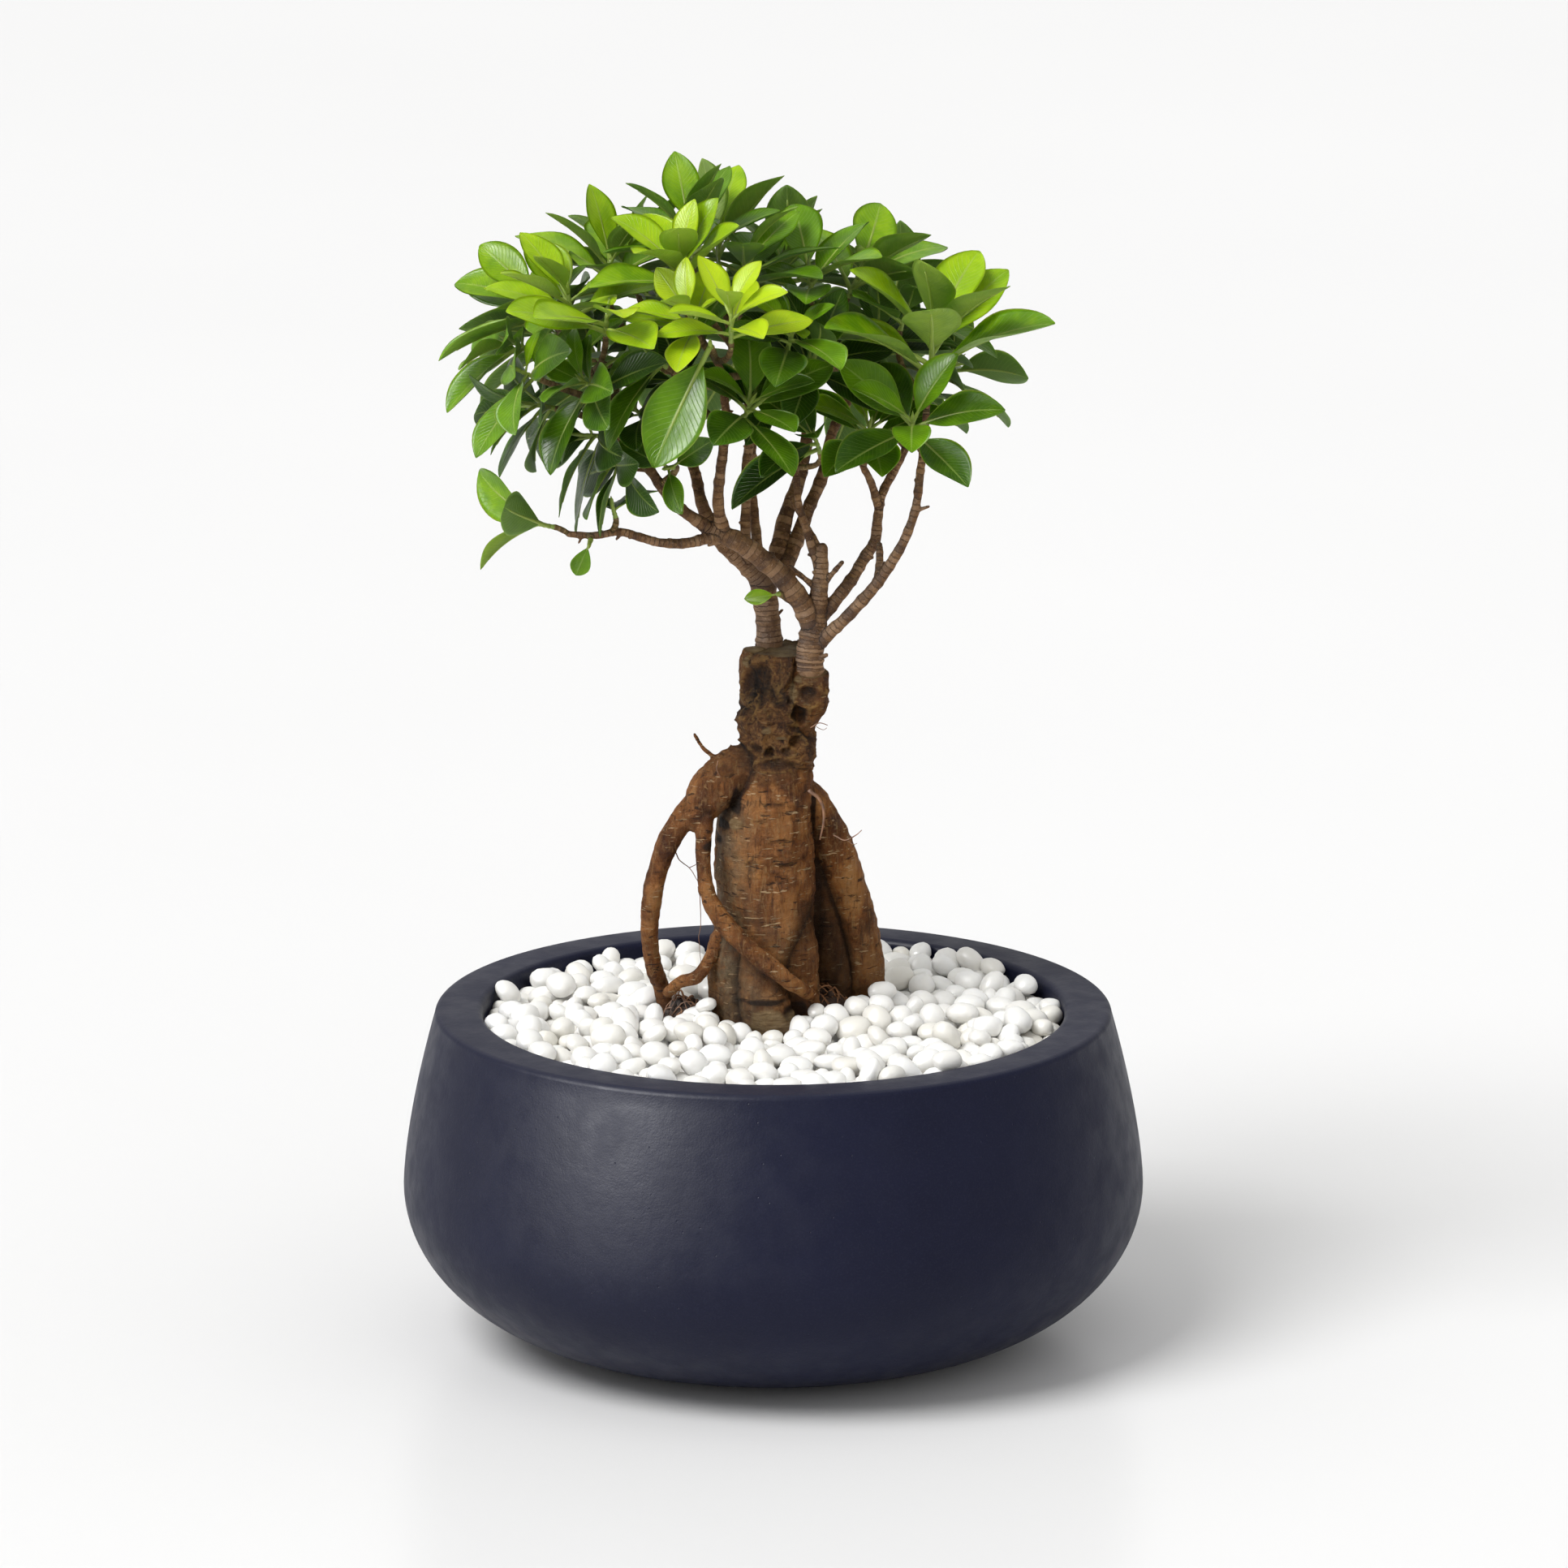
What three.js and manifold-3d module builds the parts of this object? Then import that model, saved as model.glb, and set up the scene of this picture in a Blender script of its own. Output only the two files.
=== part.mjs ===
// A ginseng ficus bonsai in a round bowl: a swollen rootstock with aerial roots, two grafted scions with
// their branches, leafy shoots, soil and a top dressing of pebbles.
// Millimetres, +Z up, the front faces -Y, and the origin is the middle of the bowl's base.
import * as THREE from "three";
import { mergeVertices } from "three/addons/utils/BufferGeometryUtils.js";
import Module from "manifold-3d";

const wasm = await Module();
wasm.setup();

// ---------------------------------------------------------------- driving dimensions

const CLEARANCE = 0.3; // left between pieces that touch
const SHOOT_GAP = 0.6; // left between a twig's tilted end and the shoot that it bears
const POT = {
  height: 124,
  baseRadius: 60,
  bellyRadius: 137,
  bellyHeight: 58,
  rimRadius: 125,
  rimWidth: 17.5,
  rimDepth: 13,
  wall: 9,
  floor: 10,
  edgeRadius: 2,
};
const SOIL_BELOW_RIM = 12; // from the rim down to the soil under the pebbles
const PEBBLE = { depth: 9.5, bump: 1.3, bumpLength: 11, crown: 2.5 };
const SOIL_HEAP = 3; // how far the bare soil stands over the hollows between pebbles
const DRAWN_SOIL_TOP = 112; // the soil's height in the tables of limbs and shoots; the tree rises with the soil
const LEAF = { width: 0.53, thickness: 0.9, petiole: 0.16 }; // width and petiole are shares of the length
const ROUND_SEGMENTS = 40; // the bowl's inside and what fills it share their facets
const SHORTEST_EDGE = 0.02; // shorter ones, left where a leaf meets its stem, are merged away
const LEAF_ROOM = 2.3; // closest that two leaves come to each other
const FOOT_SHARE = 0.34; // how much of a leaf, from its foot, may come close to its neighbours on the stem
const BARK_ROOM = 1.2; // closest that a leaf comes to bark
const TWIG_RADIUS = { atLimb: 1.3, atShoot: 0.95, atTip: 0.7 };
const LIMB_SHARE = 0.9; // a twig is at most this share of its limb where it leaves it

// How leaves are set on a shoot. Angles are in degrees, and the scatters are the whole range of a random part.
const SETTING = {
  spiral: 137.5, // from one leaf to the next
  tipOpen: 14, // how far the topmost leaf opens from the stem
  openFade: 0.7, // how soon the leaves close up toward the tip
  openScatter: 16,
  lowestFoot: 0.1, // where the first leaf starts, as a share of the stem
  tipShrink: 0.3, // how much shorter the topmost leaf is
  leastLength: 0.9,
  lengthScatter: 0.2,
  bend: 12,
  bendScatter: 26,
  bendRipe: 12, // how much more an old leaf bends
  cup: 0.12,
  cupScatter: 0.3,
  twistScatter: 36,
};

// Where the soil shows between the roots instead of pebbles: middle and half widths.
const BARE_SOIL = [
  { x: 18, y: 3, halfX: 14, halfY: 13 },
  { x: -33, y: 0, halfX: 9, halfY: 8 },
];

// The rootstock's limbs, each a list of x, y, z and radius.
const ROOTSTOCK = {
  bulb: [
    [-8, 2, 88, 8], [-6, 1, 104, 13], [-3, 1, 120, 15], [-2, 1, 137, 15.5], [-2, 0, 152, 16.8], [-3, 0, 167, 17.8],
    [-3, 0, 185, 18.2], [-2, 0, 198, 16.5], [0, 0, 212, 14], [1, 0, 222, 13.1], [1, 0, 235, 13.1], [2.5, 0, 246, 13.6],
    [2.5, 0, 259, 12],
  ],
  stumpLeft: [[-3, 1, 232, 6], [-5, 0, 242, 8], [-5.5, 0, 251, 7.6], [-5.5, 0, 259.5, 6]],
  stumpRight: [[8, -3, 230, 6], [11, -5, 239, 7.6], [12.5, -7, 247, 7.6], [13, -8, 252.5, 6.4]],
  footLeft: [
    [-9, -1, 164, 9], [-12, -3, 148, 11], [-13, -5, 134, 12], [-12, -6, 120, 11], [-10, -6, 102, 7],
  ],
  footFront: [
    [-8, -6, 150, 8], [-6, -10, 137, 9.5], [-3, -14, 127, 9.8], [0, -15, 117, 9], [3, -15, 102, 6],
  ],
  footRight: [[4, -2, 162, 10], [6, -4, 146, 10], [8, -4, 132, 8.5], [9, -4, 106, 6]],
  leg: [
    [8, 1, 210, 5], [14, 4, 200, 6.6], [19, 9, 186, 8], [23, 15, 169, 9.6], [27, 20, 153, 10.4], [30, 23, 138, 10.2],
    [33, 25, 124, 9.4], [36, 27, 98, 5.5],
  ],
  shoulder: [
    [-3, 0, 217, 8], [-11, -2, 215, 9.2], [-19, -5, 210.5, 9.2], [-25, -8, 205, 8.2], [-28.5, -10, 199, 6],
  ],
  web: [[8, 6, 192, 5], [13, 9, 174, 7.5], [17, 12, 154, 8.5], [20, 14, 136, 8.5], [22, 16, 104, 6]],
  outerRoot: [
    [-24, -7, 207, 5.6], [-31, -9, 201, 5], [-38, -11, 190.5, 4.2], [-42.5, -11, 178, 3.8], [-45, -10, 164, 3.5],
    [-45.5, -6, 151, 3.4], [-44, -1, 139, 3.2], [-41, 5, 128, 3], [-38, 8, 104, 2],
  ],
  innerRoot: [
    [-25, -11, 203, 4], [-25.5, -14, 193, 3.1], [-25.5, -17, 181, 2.8], [-23.5, -19, 170, 3], [-18, -21, 161, 3.4],
    [-10, -22.5, 153, 3.7], [-1, -22.5, 145, 3.4], [6, -20.5, 138.5, 3], [11, -15, 134, 2.6], [15, -6, 127, 2.2],
    [17, 0, 108, 1.8],
  ],
  curledRoot: [
    [-20, -8, 154, 2.2], [-23, -12, 146, 2.4], [-28, -14, 139, 2.5], [-34, -10, 136, 2.3],
    [-39, -3, 130, 2.1],
  ],
  spur: [[-18, -3, 216, 1.6], [-22, -3, 219.5, 1.1], [-26, -3, 223, 0.9], [-29, -3, 228, 0.7]],
};

// The scions' limbs. Each starts inside the limb that it grows from.
const SCIONS = {
  scion_left: {
    stem: [[-1.5, 6, 260, 4.7], [-2, 6, 270, 4.3], [-3, 6.5, 279, 4.4], [-6, 6, 288, 4.5]],
    head: [
      [-4, 6, 284, 4.4], [-10, 4, 291, 4], [-17, 1, 298, 3.4], [-22, -1, 305, 2.8], [-26, -2, 314, 2.1],
      [-28, 1, 323, 1.9], [-31, 6, 334, 1.7], [-33, 10, 349, 1.5], [-38, 16, 366, 1.2],
    ],
    rearLeft: [
      [-4, 7, 280, 3.6], [1, 13, 290, 3], [4, 19, 303, 2.7], [9, 26, 316, 2.4], [12, 33, 329, 2.1],
      [11, 39, 346, 1.7], [4, 44, 364, 1.3],
    ],
    rearRight: [
      [-4, 6, 281, 3.4], [4, 12, 288, 2.9], [9, 17, 297, 2.6], [13, 22, 307, 2.3], [18, 27, 318, 2.1],
      [22, 32, 334, 1.7], [30, 38, 350, 1.3],
    ],
    middleFront: [
      [-9, 3, 291, 2.6], [-10, -3, 300, 1.9], [-10, -4, 312, 1.7], [-10, -4, 323, 1.6], [-9, -3, 334, 1.6],
      [-9, -4, 348, 1.4], [-12, -6, 370, 1.2],
    ],
    middleRear: [
      [-6, 5, 288, 2.4], [-6, 5, 296, 1.9], [-7, 7, 306, 1.7], [-8, 10, 317, 1.6], [-8, 13, 328, 1.5],
      [-8, 15, 345, 1.4], [-14, 18, 368, 1.2],
    ],
  },
  scion_right: {
    stem: [
      [13, -8, 253, 5.3], [13.3, -8, 258, 4.9], [14, -7.5, 265, 4.4], [15.5, -7, 272, 4.1],
      [16.5, -7, 280, 3.1], [17.5, -6.5, 288, 2.6], [18, -6, 298, 2],
    ],
    bigBranch: [
      [15, -7, 267, 3.9], [10.5, -9, 278, 3.8], [3.5, -10.5, 288, 3.7], [-5, -12, 296.5, 3.6],
      [-14, -14, 303, 3.3], [-22, -15, 307, 2.7], [-28, -16, 311, 2],
    ],
    lowLeft: [
      [-19, -15, 305, 2.3], [-25, -17, 304, 2], [-33, -20, 303, 1.7], [-41, -23, 304, 1.5],
      [-49, -26, 307, 1.4], [-56, -28, 309, 1.3], [-64, -29, 308, 1.2], [-74, -29, 308.5, 1],
    ],
    left: [
      [-22, -15, 307, 2.4], [-32, -18, 314, 2], [-39, -19, 322, 1.8], [-44, -20, 329, 1.7],
      [-50, -20, 337, 1.6], [-58, -20, 350, 1.4], [-66, -18, 366, 1.2],
    ],
    frontLeft: [
      [-18, -14, 305, 2.5], [-20, -19, 317, 2], [-19, -25, 330, 1.8], [-18, -30, 342, 1.6],
      [-17, -34, 354, 1.5], [-18, -38, 368, 1.3], [-22, -42, 378, 1.1],
    ],
    wispLeft: [
      [17.3, -6.5, 287, 1.5], [13.5, -6, 300, 1.3], [9.5, -7, 315, 1.2], [8, -7, 326, 1.1],
      [7.5, -7, 333, 0.9],
    ],
    wispRear: [[18, -6, 295, 1.3], [14, -3, 303, 1.1], [9, 0, 311, 0.9], [6.5, 2, 316, 0.8]],
    stubRight: [[17.5, -6.5, 284, 1.2], [21, -8, 289, 0.9], [25, -9, 294, 0.7]],
    stubLeft: [[17, -6.5, 282, 1.2], [11.5, -8, 287.5, 0.9], [6.5, -9, 292, 0.7]],
    right: [
      [16.5, -7, 272, 2.9], [24, -4, 280, 2.2], [29, 0, 286, 2.1], [33, 4, 292, 2], [37, 6, 298, 1.9],
      [38, 8, 306, 1.7], [39, 9, 313, 1.6], [42, 10, 320, 1.5], [47, 11, 329, 1.4], [52, 12, 339, 1.2],
    ],
    rightFork: [[38.5, 8.5, 310, 1.5], [36, 5, 320, 1.3], [33, 0, 328, 1.1]],
    outerRight: [
      [15, -7.5, 262, 2.9], [23, -11, 270, 2.2], [30, -14, 278, 2.1], [38, -17, 288, 2], [44, -19, 297, 1.8],
      [49, -21, 308, 1.6], [52, -21, 319, 1.5], [53.5, -20, 330, 1.4], [54.5, -20, 341, 1.3],
      [55.5, -20, 357, 1.1],
    ],
    outerStub: [[38, -17, 288, 1.6], [38.5, -12, 294, 1.3], [38.5, -9, 300, 1.1]],
  },
};

// The leafy shoots: base, direction, stem length, number of leaves, leaf length, turn of the first leaf in degrees,
// how far the lowest leaves open from the stem in degrees, and ripeness from 0, new, to 1, old.
const SHOOTS = {
  front_big_leaf: {
    base: [-22, -59, 383], aim: [-0.1, -0.9, 0.45],
    stem: 5, leaves: 1, leaf: 42, turn: 243, open: 97, ripe: 0.62,
  },
  centre_new: {
    base: [-15, -56, 384], aim: [0, -0.3, 1],
    stem: 14, leaves: 9, leaf: 26, turn: 20, open: 60, ripe: 0.02,
  },
  centre_new_left: {
    base: [-27, -48, 385], aim: [-0.35, -0.3, 1],
    stem: 10, leaves: 8, leaf: 25, turn: 150, open: 60, ripe: 0.1,
  },
  crown_front: {
    base: [-33, -26, 398], aim: [-0.05, -0.35, 1],
    stem: 10, leaves: 8, leaf: 31, turn: 200, open: 50, ripe: 0.2,
  },
  apex: {
    base: [-29, -3, 401], aim: [-0.1, 0, 1],
    stem: 15, leaves: 9, leaf: 34, turn: 83, open: 48, ripe: 0.5,
  },
  crown_left: {
    base: [-60, 6, 393], aim: [0.1, 0, 1],
    stem: 10, leaves: 8, leaf: 35, turn: 10, open: 50, ripe: 0.35,
  },
  top_left: {
    base: [-72, -20, 383], aim: [-0.15, -0.15, 1],
    stem: 13, leaves: 9, leaf: 33, turn: 250, open: 50, ripe: 0.22,
  },
  left_tip: {
    base: [-80, -2, 381], aim: [-0.6, -0.1, 0.9],
    stem: 10, leaves: 8, leaf: 38, turn: 206, open: 50, ripe: 0.4,
  },
  left_upper: {
    base: [-88, -8, 372], aim: [-1, -0.2, 0.5],
    stem: 8, leaves: 8, leaf: 31, turn: 36, open: 55, ripe: 0.45,
  },
  left_front: {
    base: [-84, -32, 366], aim: [-0.9, -0.5, 0.5],
    stem: 9, leaves: 8, leaf: 32, turn: 100, open: 55, ripe: 0.5,
  },
  left_lower: {
    base: [-79, -20, 353], aim: [-1, -0.3, 0.25],
    stem: 8, leaves: 8, leaf: 31, turn: 60, open: 60, ripe: 0.8,
  },
  lime_left: {
    base: [-60, -42, 384], aim: [0.05, -0.4, 1],
    stem: 10, leaves: 9, leaf: 37, turn: 176, open: 50, ripe: 0.15,
  },
  crown_right: {
    base: [-11, -12, 394], aim: [0.05, -0.1, 1],
    stem: 13, leaves: 9, leaf: 34, turn: 300, open: 50, ripe: 0.5,
  },
  top_right: {
    base: [14, -8, 391], aim: [-0.1, -0.05, 1],
    stem: 11, leaves: 8, leaf: 33, turn: 130, open: 50, ripe: 0.45,
  },
  high_right: {
    base: [27, 8, 388], aim: [0.45, 0.1, 1],
    stem: 11, leaves: 8, leaf: 39, turn: 350, open: 45, ripe: 0.4,
  },
  right_rosette: {
    base: [56, -20, 362], aim: [0.12, -0.1, 1],
    stem: 20, leaves: 9, leaf: 43, turn: 210, open: 36, ripe: 0.34,
  },
  right_collar: {
    base: [51, -25, 344], aim: [-0.1, -0.6, 0.8],
    stem: 8, leaves: 8, leaf: 33, turn: 304, open: 60, ripe: 0.6,
  },
  right_front: {
    base: [34, -6, 336], aim: [0.1, -0.45, 1],
    stem: 9, leaves: 8, leaf: 31, turn: 240, open: 55, ripe: 0.5,
  },
  centre_low_right: {
    base: [17, -22, 337], aim: [-0.2, -0.5, 0.7],
    stem: 8, leaves: 8, leaf: 32, turn: 44, open: 60, ripe: 0.75,
  },
  centre_fan: {
    base: [-11, -38, 352], aim: [0.35, -0.5, 0.9],
    stem: 9, leaves: 9, leaf: 33, turn: 330, open: 60, ripe: 0.6,
  },
  left_middle: {
    base: [-62, -42, 363], aim: [-0.7, -0.5, 0.6],
    stem: 9, leaves: 9, leaf: 32, turn: 20, open: 60, ripe: 0.65,
  },
  left_middle_high: {
    base: [-68, -40, 374], aim: [-0.5, -0.35, 0.9],
    stem: 8, leaves: 8, leaf: 29, turn: 280, open: 55, ripe: 0.5,
  },
  centre_left: {
    base: [-38, -50, 374], aim: [-0.7, -0.4, 0.6],
    stem: 8, leaves: 8, leaf: 30, turn: 120, open: 60, ripe: 0.6,
  },
  droop_left: {
    base: [-60, -26, 344], aim: [-1, -0.25, 0.1],
    stem: 9, leaves: 8, leaf: 35, turn: 75, open: 62, ripe: 0.85,
  },
  droop_low: {
    base: [-52, -26, 335], aim: [-0.9, -0.35, -0.15],
    stem: 8, leaves: 8, leaf: 31, turn: 15, open: 62, ripe: 0.75,
  },
  low_tip: {
    base: [-79, -29, 311], aim: [-1, -0.05, 0.2],
    stem: 7, leaves: 3, leaf: 33, turn: 200, open: 30, ripe: 0.5,
  },
  low_sprig: {
    base: [-57, -29, 314.5], aim: [-0.25, -0.2, 1],
    stem: 5, leaves: 5, leaf: 17, turn: 90, open: 70, ripe: 0.6,
  },
  low_single: {
    base: [-66, -32, 307], aim: [-0.15, -0.9, -0.3],
    stem: 3, leaves: 1, leaf: 14, turn: 250, open: 85, ripe: 0.5,
  },
  stem_leaf: {
    base: [2, -14.5, 283], aim: [-0.2, -0.9, 0.2],
    stem: 2, leaves: 1, leaf: 11, turn: 188, open: 85, ripe: 0.4,
  },
  under_left: {
    base: [-36, -33, 334], aim: [-0.4, -0.8, 0.1],
    stem: 6, leaves: 4, leaf: 20, turn: 30, open: 60, ripe: 0.65,
  },
  centre_dark: {
    base: [12, -14, 363], aim: [0.3, -0.5, 0.9],
    stem: 9, leaves: 9, leaf: 32, turn: 190, open: 58, ripe: 0.85,
  },
  centre_deep: {
    base: [-1, -14, 349], aim: [0.1, -0.6, 0.8],
    stem: 8, leaves: 8, leaf: 31, turn: 70, open: 58, ripe: 0.9,
  },
  centre_high: {
    base: [5, -34, 377], aim: [0.25, -0.4, 0.9],
    stem: 10, leaves: 9, leaf: 32, turn: 260, open: 55, ripe: 0.5,
  },
  right_middle: {
    base: [36, 4, 366], aim: [0.2, -0.1, 1],
    stem: 10, leaves: 9, leaf: 32, turn: 16, open: 58, ripe: 0.8,
  },
  right_high: {
    base: [46, -2, 378], aim: [0.3, -0.1, 1],
    stem: 11, leaves: 9, leaf: 33, turn: 60, open: 52, ripe: 0.5,
  },
  crown_middle: {
    base: [2, 16, 390], aim: [0.1, 0.15, 1],
    stem: 11, leaves: 9, leaf: 33, turn: 220, open: 52, ripe: 0.5,
  },
  rear_right: {
    base: [60, 22, 354], aim: [0.7, 0.5, 0.7],
    stem: 10, leaves: 9, leaf: 35, turn: 140, open: 58, ripe: 0.7,
  },
  rear_right_high: {
    base: [40, 36, 372], aim: [0.4, 0.5, 0.8],
    stem: 11, leaves: 9, leaf: 34, turn: 220, open: 58, ripe: 0.55,
  },
  rear_middle: {
    base: [6, 44, 382], aim: [0, 0.5, 0.9],
    stem: 11, leaves: 10, leaf: 34, turn: 300, open: 58, ripe: 0.55,
  },
  rear_crown: {
    base: [-20, 28, 396], aim: [-0.05, 0.3, 1],
    stem: 11, leaves: 10, leaf: 34, turn: 35, open: 56, ripe: 0.4,
  },
  rear_left_high: {
    base: [-50, 34, 386], aim: [-0.3, 0.5, 0.9],
    stem: 11, leaves: 10, leaf: 34, turn: 165, open: 58, ripe: 0.5,
  },
  rear_left: {
    base: [-74, 24, 367], aim: [-0.8, 0.5, 0.55],
    stem: 10, leaves: 9, leaf: 34, turn: 265, open: 58, ripe: 0.6,
  },
  rear_low_left: {
    base: [-50, 44, 356], aim: [-0.5, 0.9, 0.35],
    stem: 10, leaves: 9, leaf: 34, turn: 55, open: 60, ripe: 0.8,
  },
  rear_low_middle: {
    base: [-12, 54, 356], aim: [-0.1, 1, 0.35],
    stem: 10, leaves: 9, leaf: 34, turn: 10, open: 60, ripe: 0.85,
  },
  rear_low_right: {
    base: [30, 52, 350], aim: [0.5, 0.9, 0.35],
    stem: 10, leaves: 9, leaf: 34, turn: 104, open: 60, ripe: 0.85,
  },
  rear_inner: {
    base: [-30, 34, 370], aim: [-0.1, 0.4, 0.9],
    stem: 9, leaves: 9, leaf: 33, turn: 100, open: 60, ripe: 0.8,
  },
  inner_crown: {
    base: [-42, 8, 382], aim: [0, 0.05, 1],
    stem: 9, leaves: 8, leaf: 32, turn: 75, open: 55, ripe: 0.7,
  },
  inner_right: {
    base: [22, 20, 368], aim: [0.2, 0.15, 1],
    stem: 9, leaves: 8, leaf: 32, turn: 155, open: 58, ripe: 0.8,
  },
  inner_left: {
    base: [-60, 2, 362], aim: [-0.6, 0.1, 0.8],
    stem: 9, leaves: 8, leaf: 31, turn: 205, open: 58, ripe: 0.85,
  },
  inner_low: {
    base: [-30, -14, 358], aim: [-0.3, -0.4, 0.8],
    stem: 8, leaves: 8, leaf: 31, turn: 140, open: 60, ripe: 0.9,
  },
  left_gap: {
    base: [-46, -34, 352], aim: [-0.5, -0.6, 0.6],
    stem: 8, leaves: 8, leaf: 31, turn: 250, open: 60, ripe: 0.8,
  },
  right_low_rear: {
    base: [44, 16, 342], aim: [0.4, 0.2, 0.9],
    stem: 8, leaves: 8, leaf: 30, turn: 330, open: 60, ripe: 0.8,
  },
};

const COLOUR = {
  pot: 0x262b45,
  soil: 0x3a2417,
  pebbles: 0xf2f1ec,
  bark: 0x7d5334,
  youngBark: 0x75563f,
  newLeaf: 0xa5cf16,
  oldLeaf: 0x2c5a12,
};

// ---------------------------------------------------------------- vectors, curves and solids

const vec = (p) => new THREE.Vector3(p[0], p[1], p[2]);
const degrees = THREE.MathUtils.degToRad;

/** A number from 0 to 1 that depends only on two whole numbers, so that the tree grows the same way every time. */
function chance(a, b) {
  const s = Math.sin(a * 12.9898 + b * 78.233) * 43758.5453;
  return s - Math.floor(s);
}

/** Points and radii along a limb, a few millimetres apart. */
function spine(limb, steps) {
  const curve = new THREE.CatmullRomCurve3(limb.map(vec), false, "catmullrom", 0.5);
  const count = limb.length - 1;
  return Array.from({ length: count * steps + 1 }, (_, i) => {
    const at = i / steps;
    const k = Math.min(Math.floor(at), count - 1);
    const radius = THREE.MathUtils.lerp(limb[k][3], limb[k + 1][3], at - k);
    return { point: curve.getPoint(at / count), radius };
  });
}

/** A closed tube with flat ends through a list of points, each with its own radius. */
function tube(stations, sides) {
  const position = [];
  const index = [];
  const last = stations.length - 1;
  let across = new THREE.Vector3(1, 0, 0);
  stations.forEach(({ point, radius }, i) => {
    const before = stations[Math.max(i - 1, 0)].point;
    const after = stations[Math.min(i + 1, last)].point;
    const along = after.clone().sub(before).normalize();
    if (i === 0 && Math.abs(along.x) > 0.8) across.set(0, 1, 0);
    across.addScaledVector(along, -across.dot(along)).normalize();
    const other = along.clone().cross(across);
    for (let k = 0; k < sides; k++) {
      const turn = (2 * Math.PI * k) / sides;
      const p = point.clone();
      p.addScaledVector(across, radius * Math.cos(turn)).addScaledVector(other, radius * Math.sin(turn));
      position.push(p.x, p.y, p.z);
    }
  });
  for (let i = 0; i < last; i++) {
    for (let k = 0; k < sides; k++) {
      const a = i * sides + k;
      const b = i * sides + ((k + 1) % sides);
      index.push(a, b, b + sides, a, b + sides, a + sides);
    }
  }
  const first = last * sides;
  for (let k = 1; k < sides - 1; k++) index.push(0, k + 1, k, first, first + k, first + k + 1);
  return new THREE.BufferGeometry()
    .setAttribute("position", new THREE.Float32BufferAttribute(position, 3))
    .setIndex(index);
}

function solid(geometry) {
  const bare = new THREE.BufferGeometry();
  bare.setAttribute("position", geometry.getAttribute("position"));
  if (geometry.index) bare.setIndex(geometry.index);
  const merged = mergeVertices(bare, 1e-3);
  return new wasm.Manifold(
    new wasm.Mesh({
      numProp: 3,
      vertProperties: new Float32Array(merged.attributes.position.array),
      triVerts: new Uint32Array(merged.index.array),
    }),
  );
}

function joined(geometries) {
  return geometries.map(solid).reduce((whole, piece) => whole.add(piece));
}

function geometryOf(manifold) {
  const mesh = manifold.getMesh();
  const position = new Float32Array(mesh.numVert * 3);
  for (let i = 0; i < mesh.numVert; i++) {
    position.set(mesh.vertProperties.subarray(i * mesh.numProp, i * mesh.numProp + 3), i * 3);
  }
  return new THREE.BufferGeometry()
    .setAttribute("position", new THREE.BufferAttribute(position, 3))
    .setIndex(new THREE.BufferAttribute(mesh.triVerts, 1));
}

/** A solid of revolution about Z from a closed outline of radius and height. */
function turned(outline) {
  const points = outline.map(([radius, height]) => new THREE.Vector2(radius, height));
  return new THREE.LatheGeometry(points, ROUND_SEGMENTS).rotateX(Math.PI / 2);
}

// ---------------------------------------------------------------- bowl, soil and pebbles

/** The bowl's outside from its base up to just under the rim's edge: an ellipse to the belly, then a lean-in. */
function potOutside(inset = 0) {
  const { baseRadius, bellyRadius, bellyHeight, rimRadius, height, edgeRadius } = POT;
  const lower = [];
  const upper = [];
  const lowerSteps = 8;
  const upperSteps = 4;
  for (let i = 0; i <= lowerSteps; i++) {
    const turn = (i / lowerSteps) * (Math.PI / 2);
    const radius = baseRadius + (bellyRadius - baseRadius) * Math.sin(turn);
    lower.push([radius - inset, bellyHeight * (1 - Math.cos(turn))]);
  }
  const top = height - edgeRadius;
  for (let i = 1; i <= upperSteps; i++) {
    const share = i / upperSteps;
    const radius = bellyRadius - (bellyRadius - rimRadius) * share ** 1.5;
    upper.push([radius - inset, bellyHeight + (top - bellyHeight) * share]);
  }
  return [...lower, ...upper];
}

/** The bowl's inside, from the axis at the floor up to the mouth. */
function potInside(gap = 0) {
  const { height, rimRadius, rimWidth, rimDepth, wall, floor } = POT;
  const mouth = rimRadius - rimWidth - gap;
  const wallPoints = potOutside(wall + gap).filter(
    ([radius, z]) => z > floor + gap && z < height - rimDepth - wall && radius > 0,
  );
  return [[0, floor + gap], [wallPoints[0][0] - floor, floor + gap], ...wallPoints, [mouth, height - rimDepth - gap]];
}

function potGeometry() {
  const { height, rimRadius, rimWidth, edgeRadius } = POT;
  const mouth = rimRadius - rimWidth;
  const bevel = edgeRadius * 0.3;
  const lip = [
    [rimRadius - bevel, height - bevel],
    [rimRadius - edgeRadius, height],
    [mouth + edgeRadius, height],
    [mouth + bevel, height - bevel],
    [mouth, height - edgeRadius],
  ];
  return turned([[0, 0], ...potOutside(), ...lip, ...potInside().reverse()]);
}

/** A disc about Z with elliptic plan, for the patches of bare soil. */
function patch({ x, y, halfX, halfY }, low, high, grow) {
  const disc = new THREE.CylinderGeometry(1, 1, high - low, 20).rotateX(Math.PI / 2);
  return disc.scale(halfX + grow, halfY + grow, 1).translate(x, y, (low + high) / 2);
}

const soilTop = POT.height - SOIL_BELOW_RIM;
const pebbleTop = soilTop + PEBBLE.depth;
const moundTop = pebbleTop - PEBBLE.bump + SOIL_HEAP;

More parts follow.
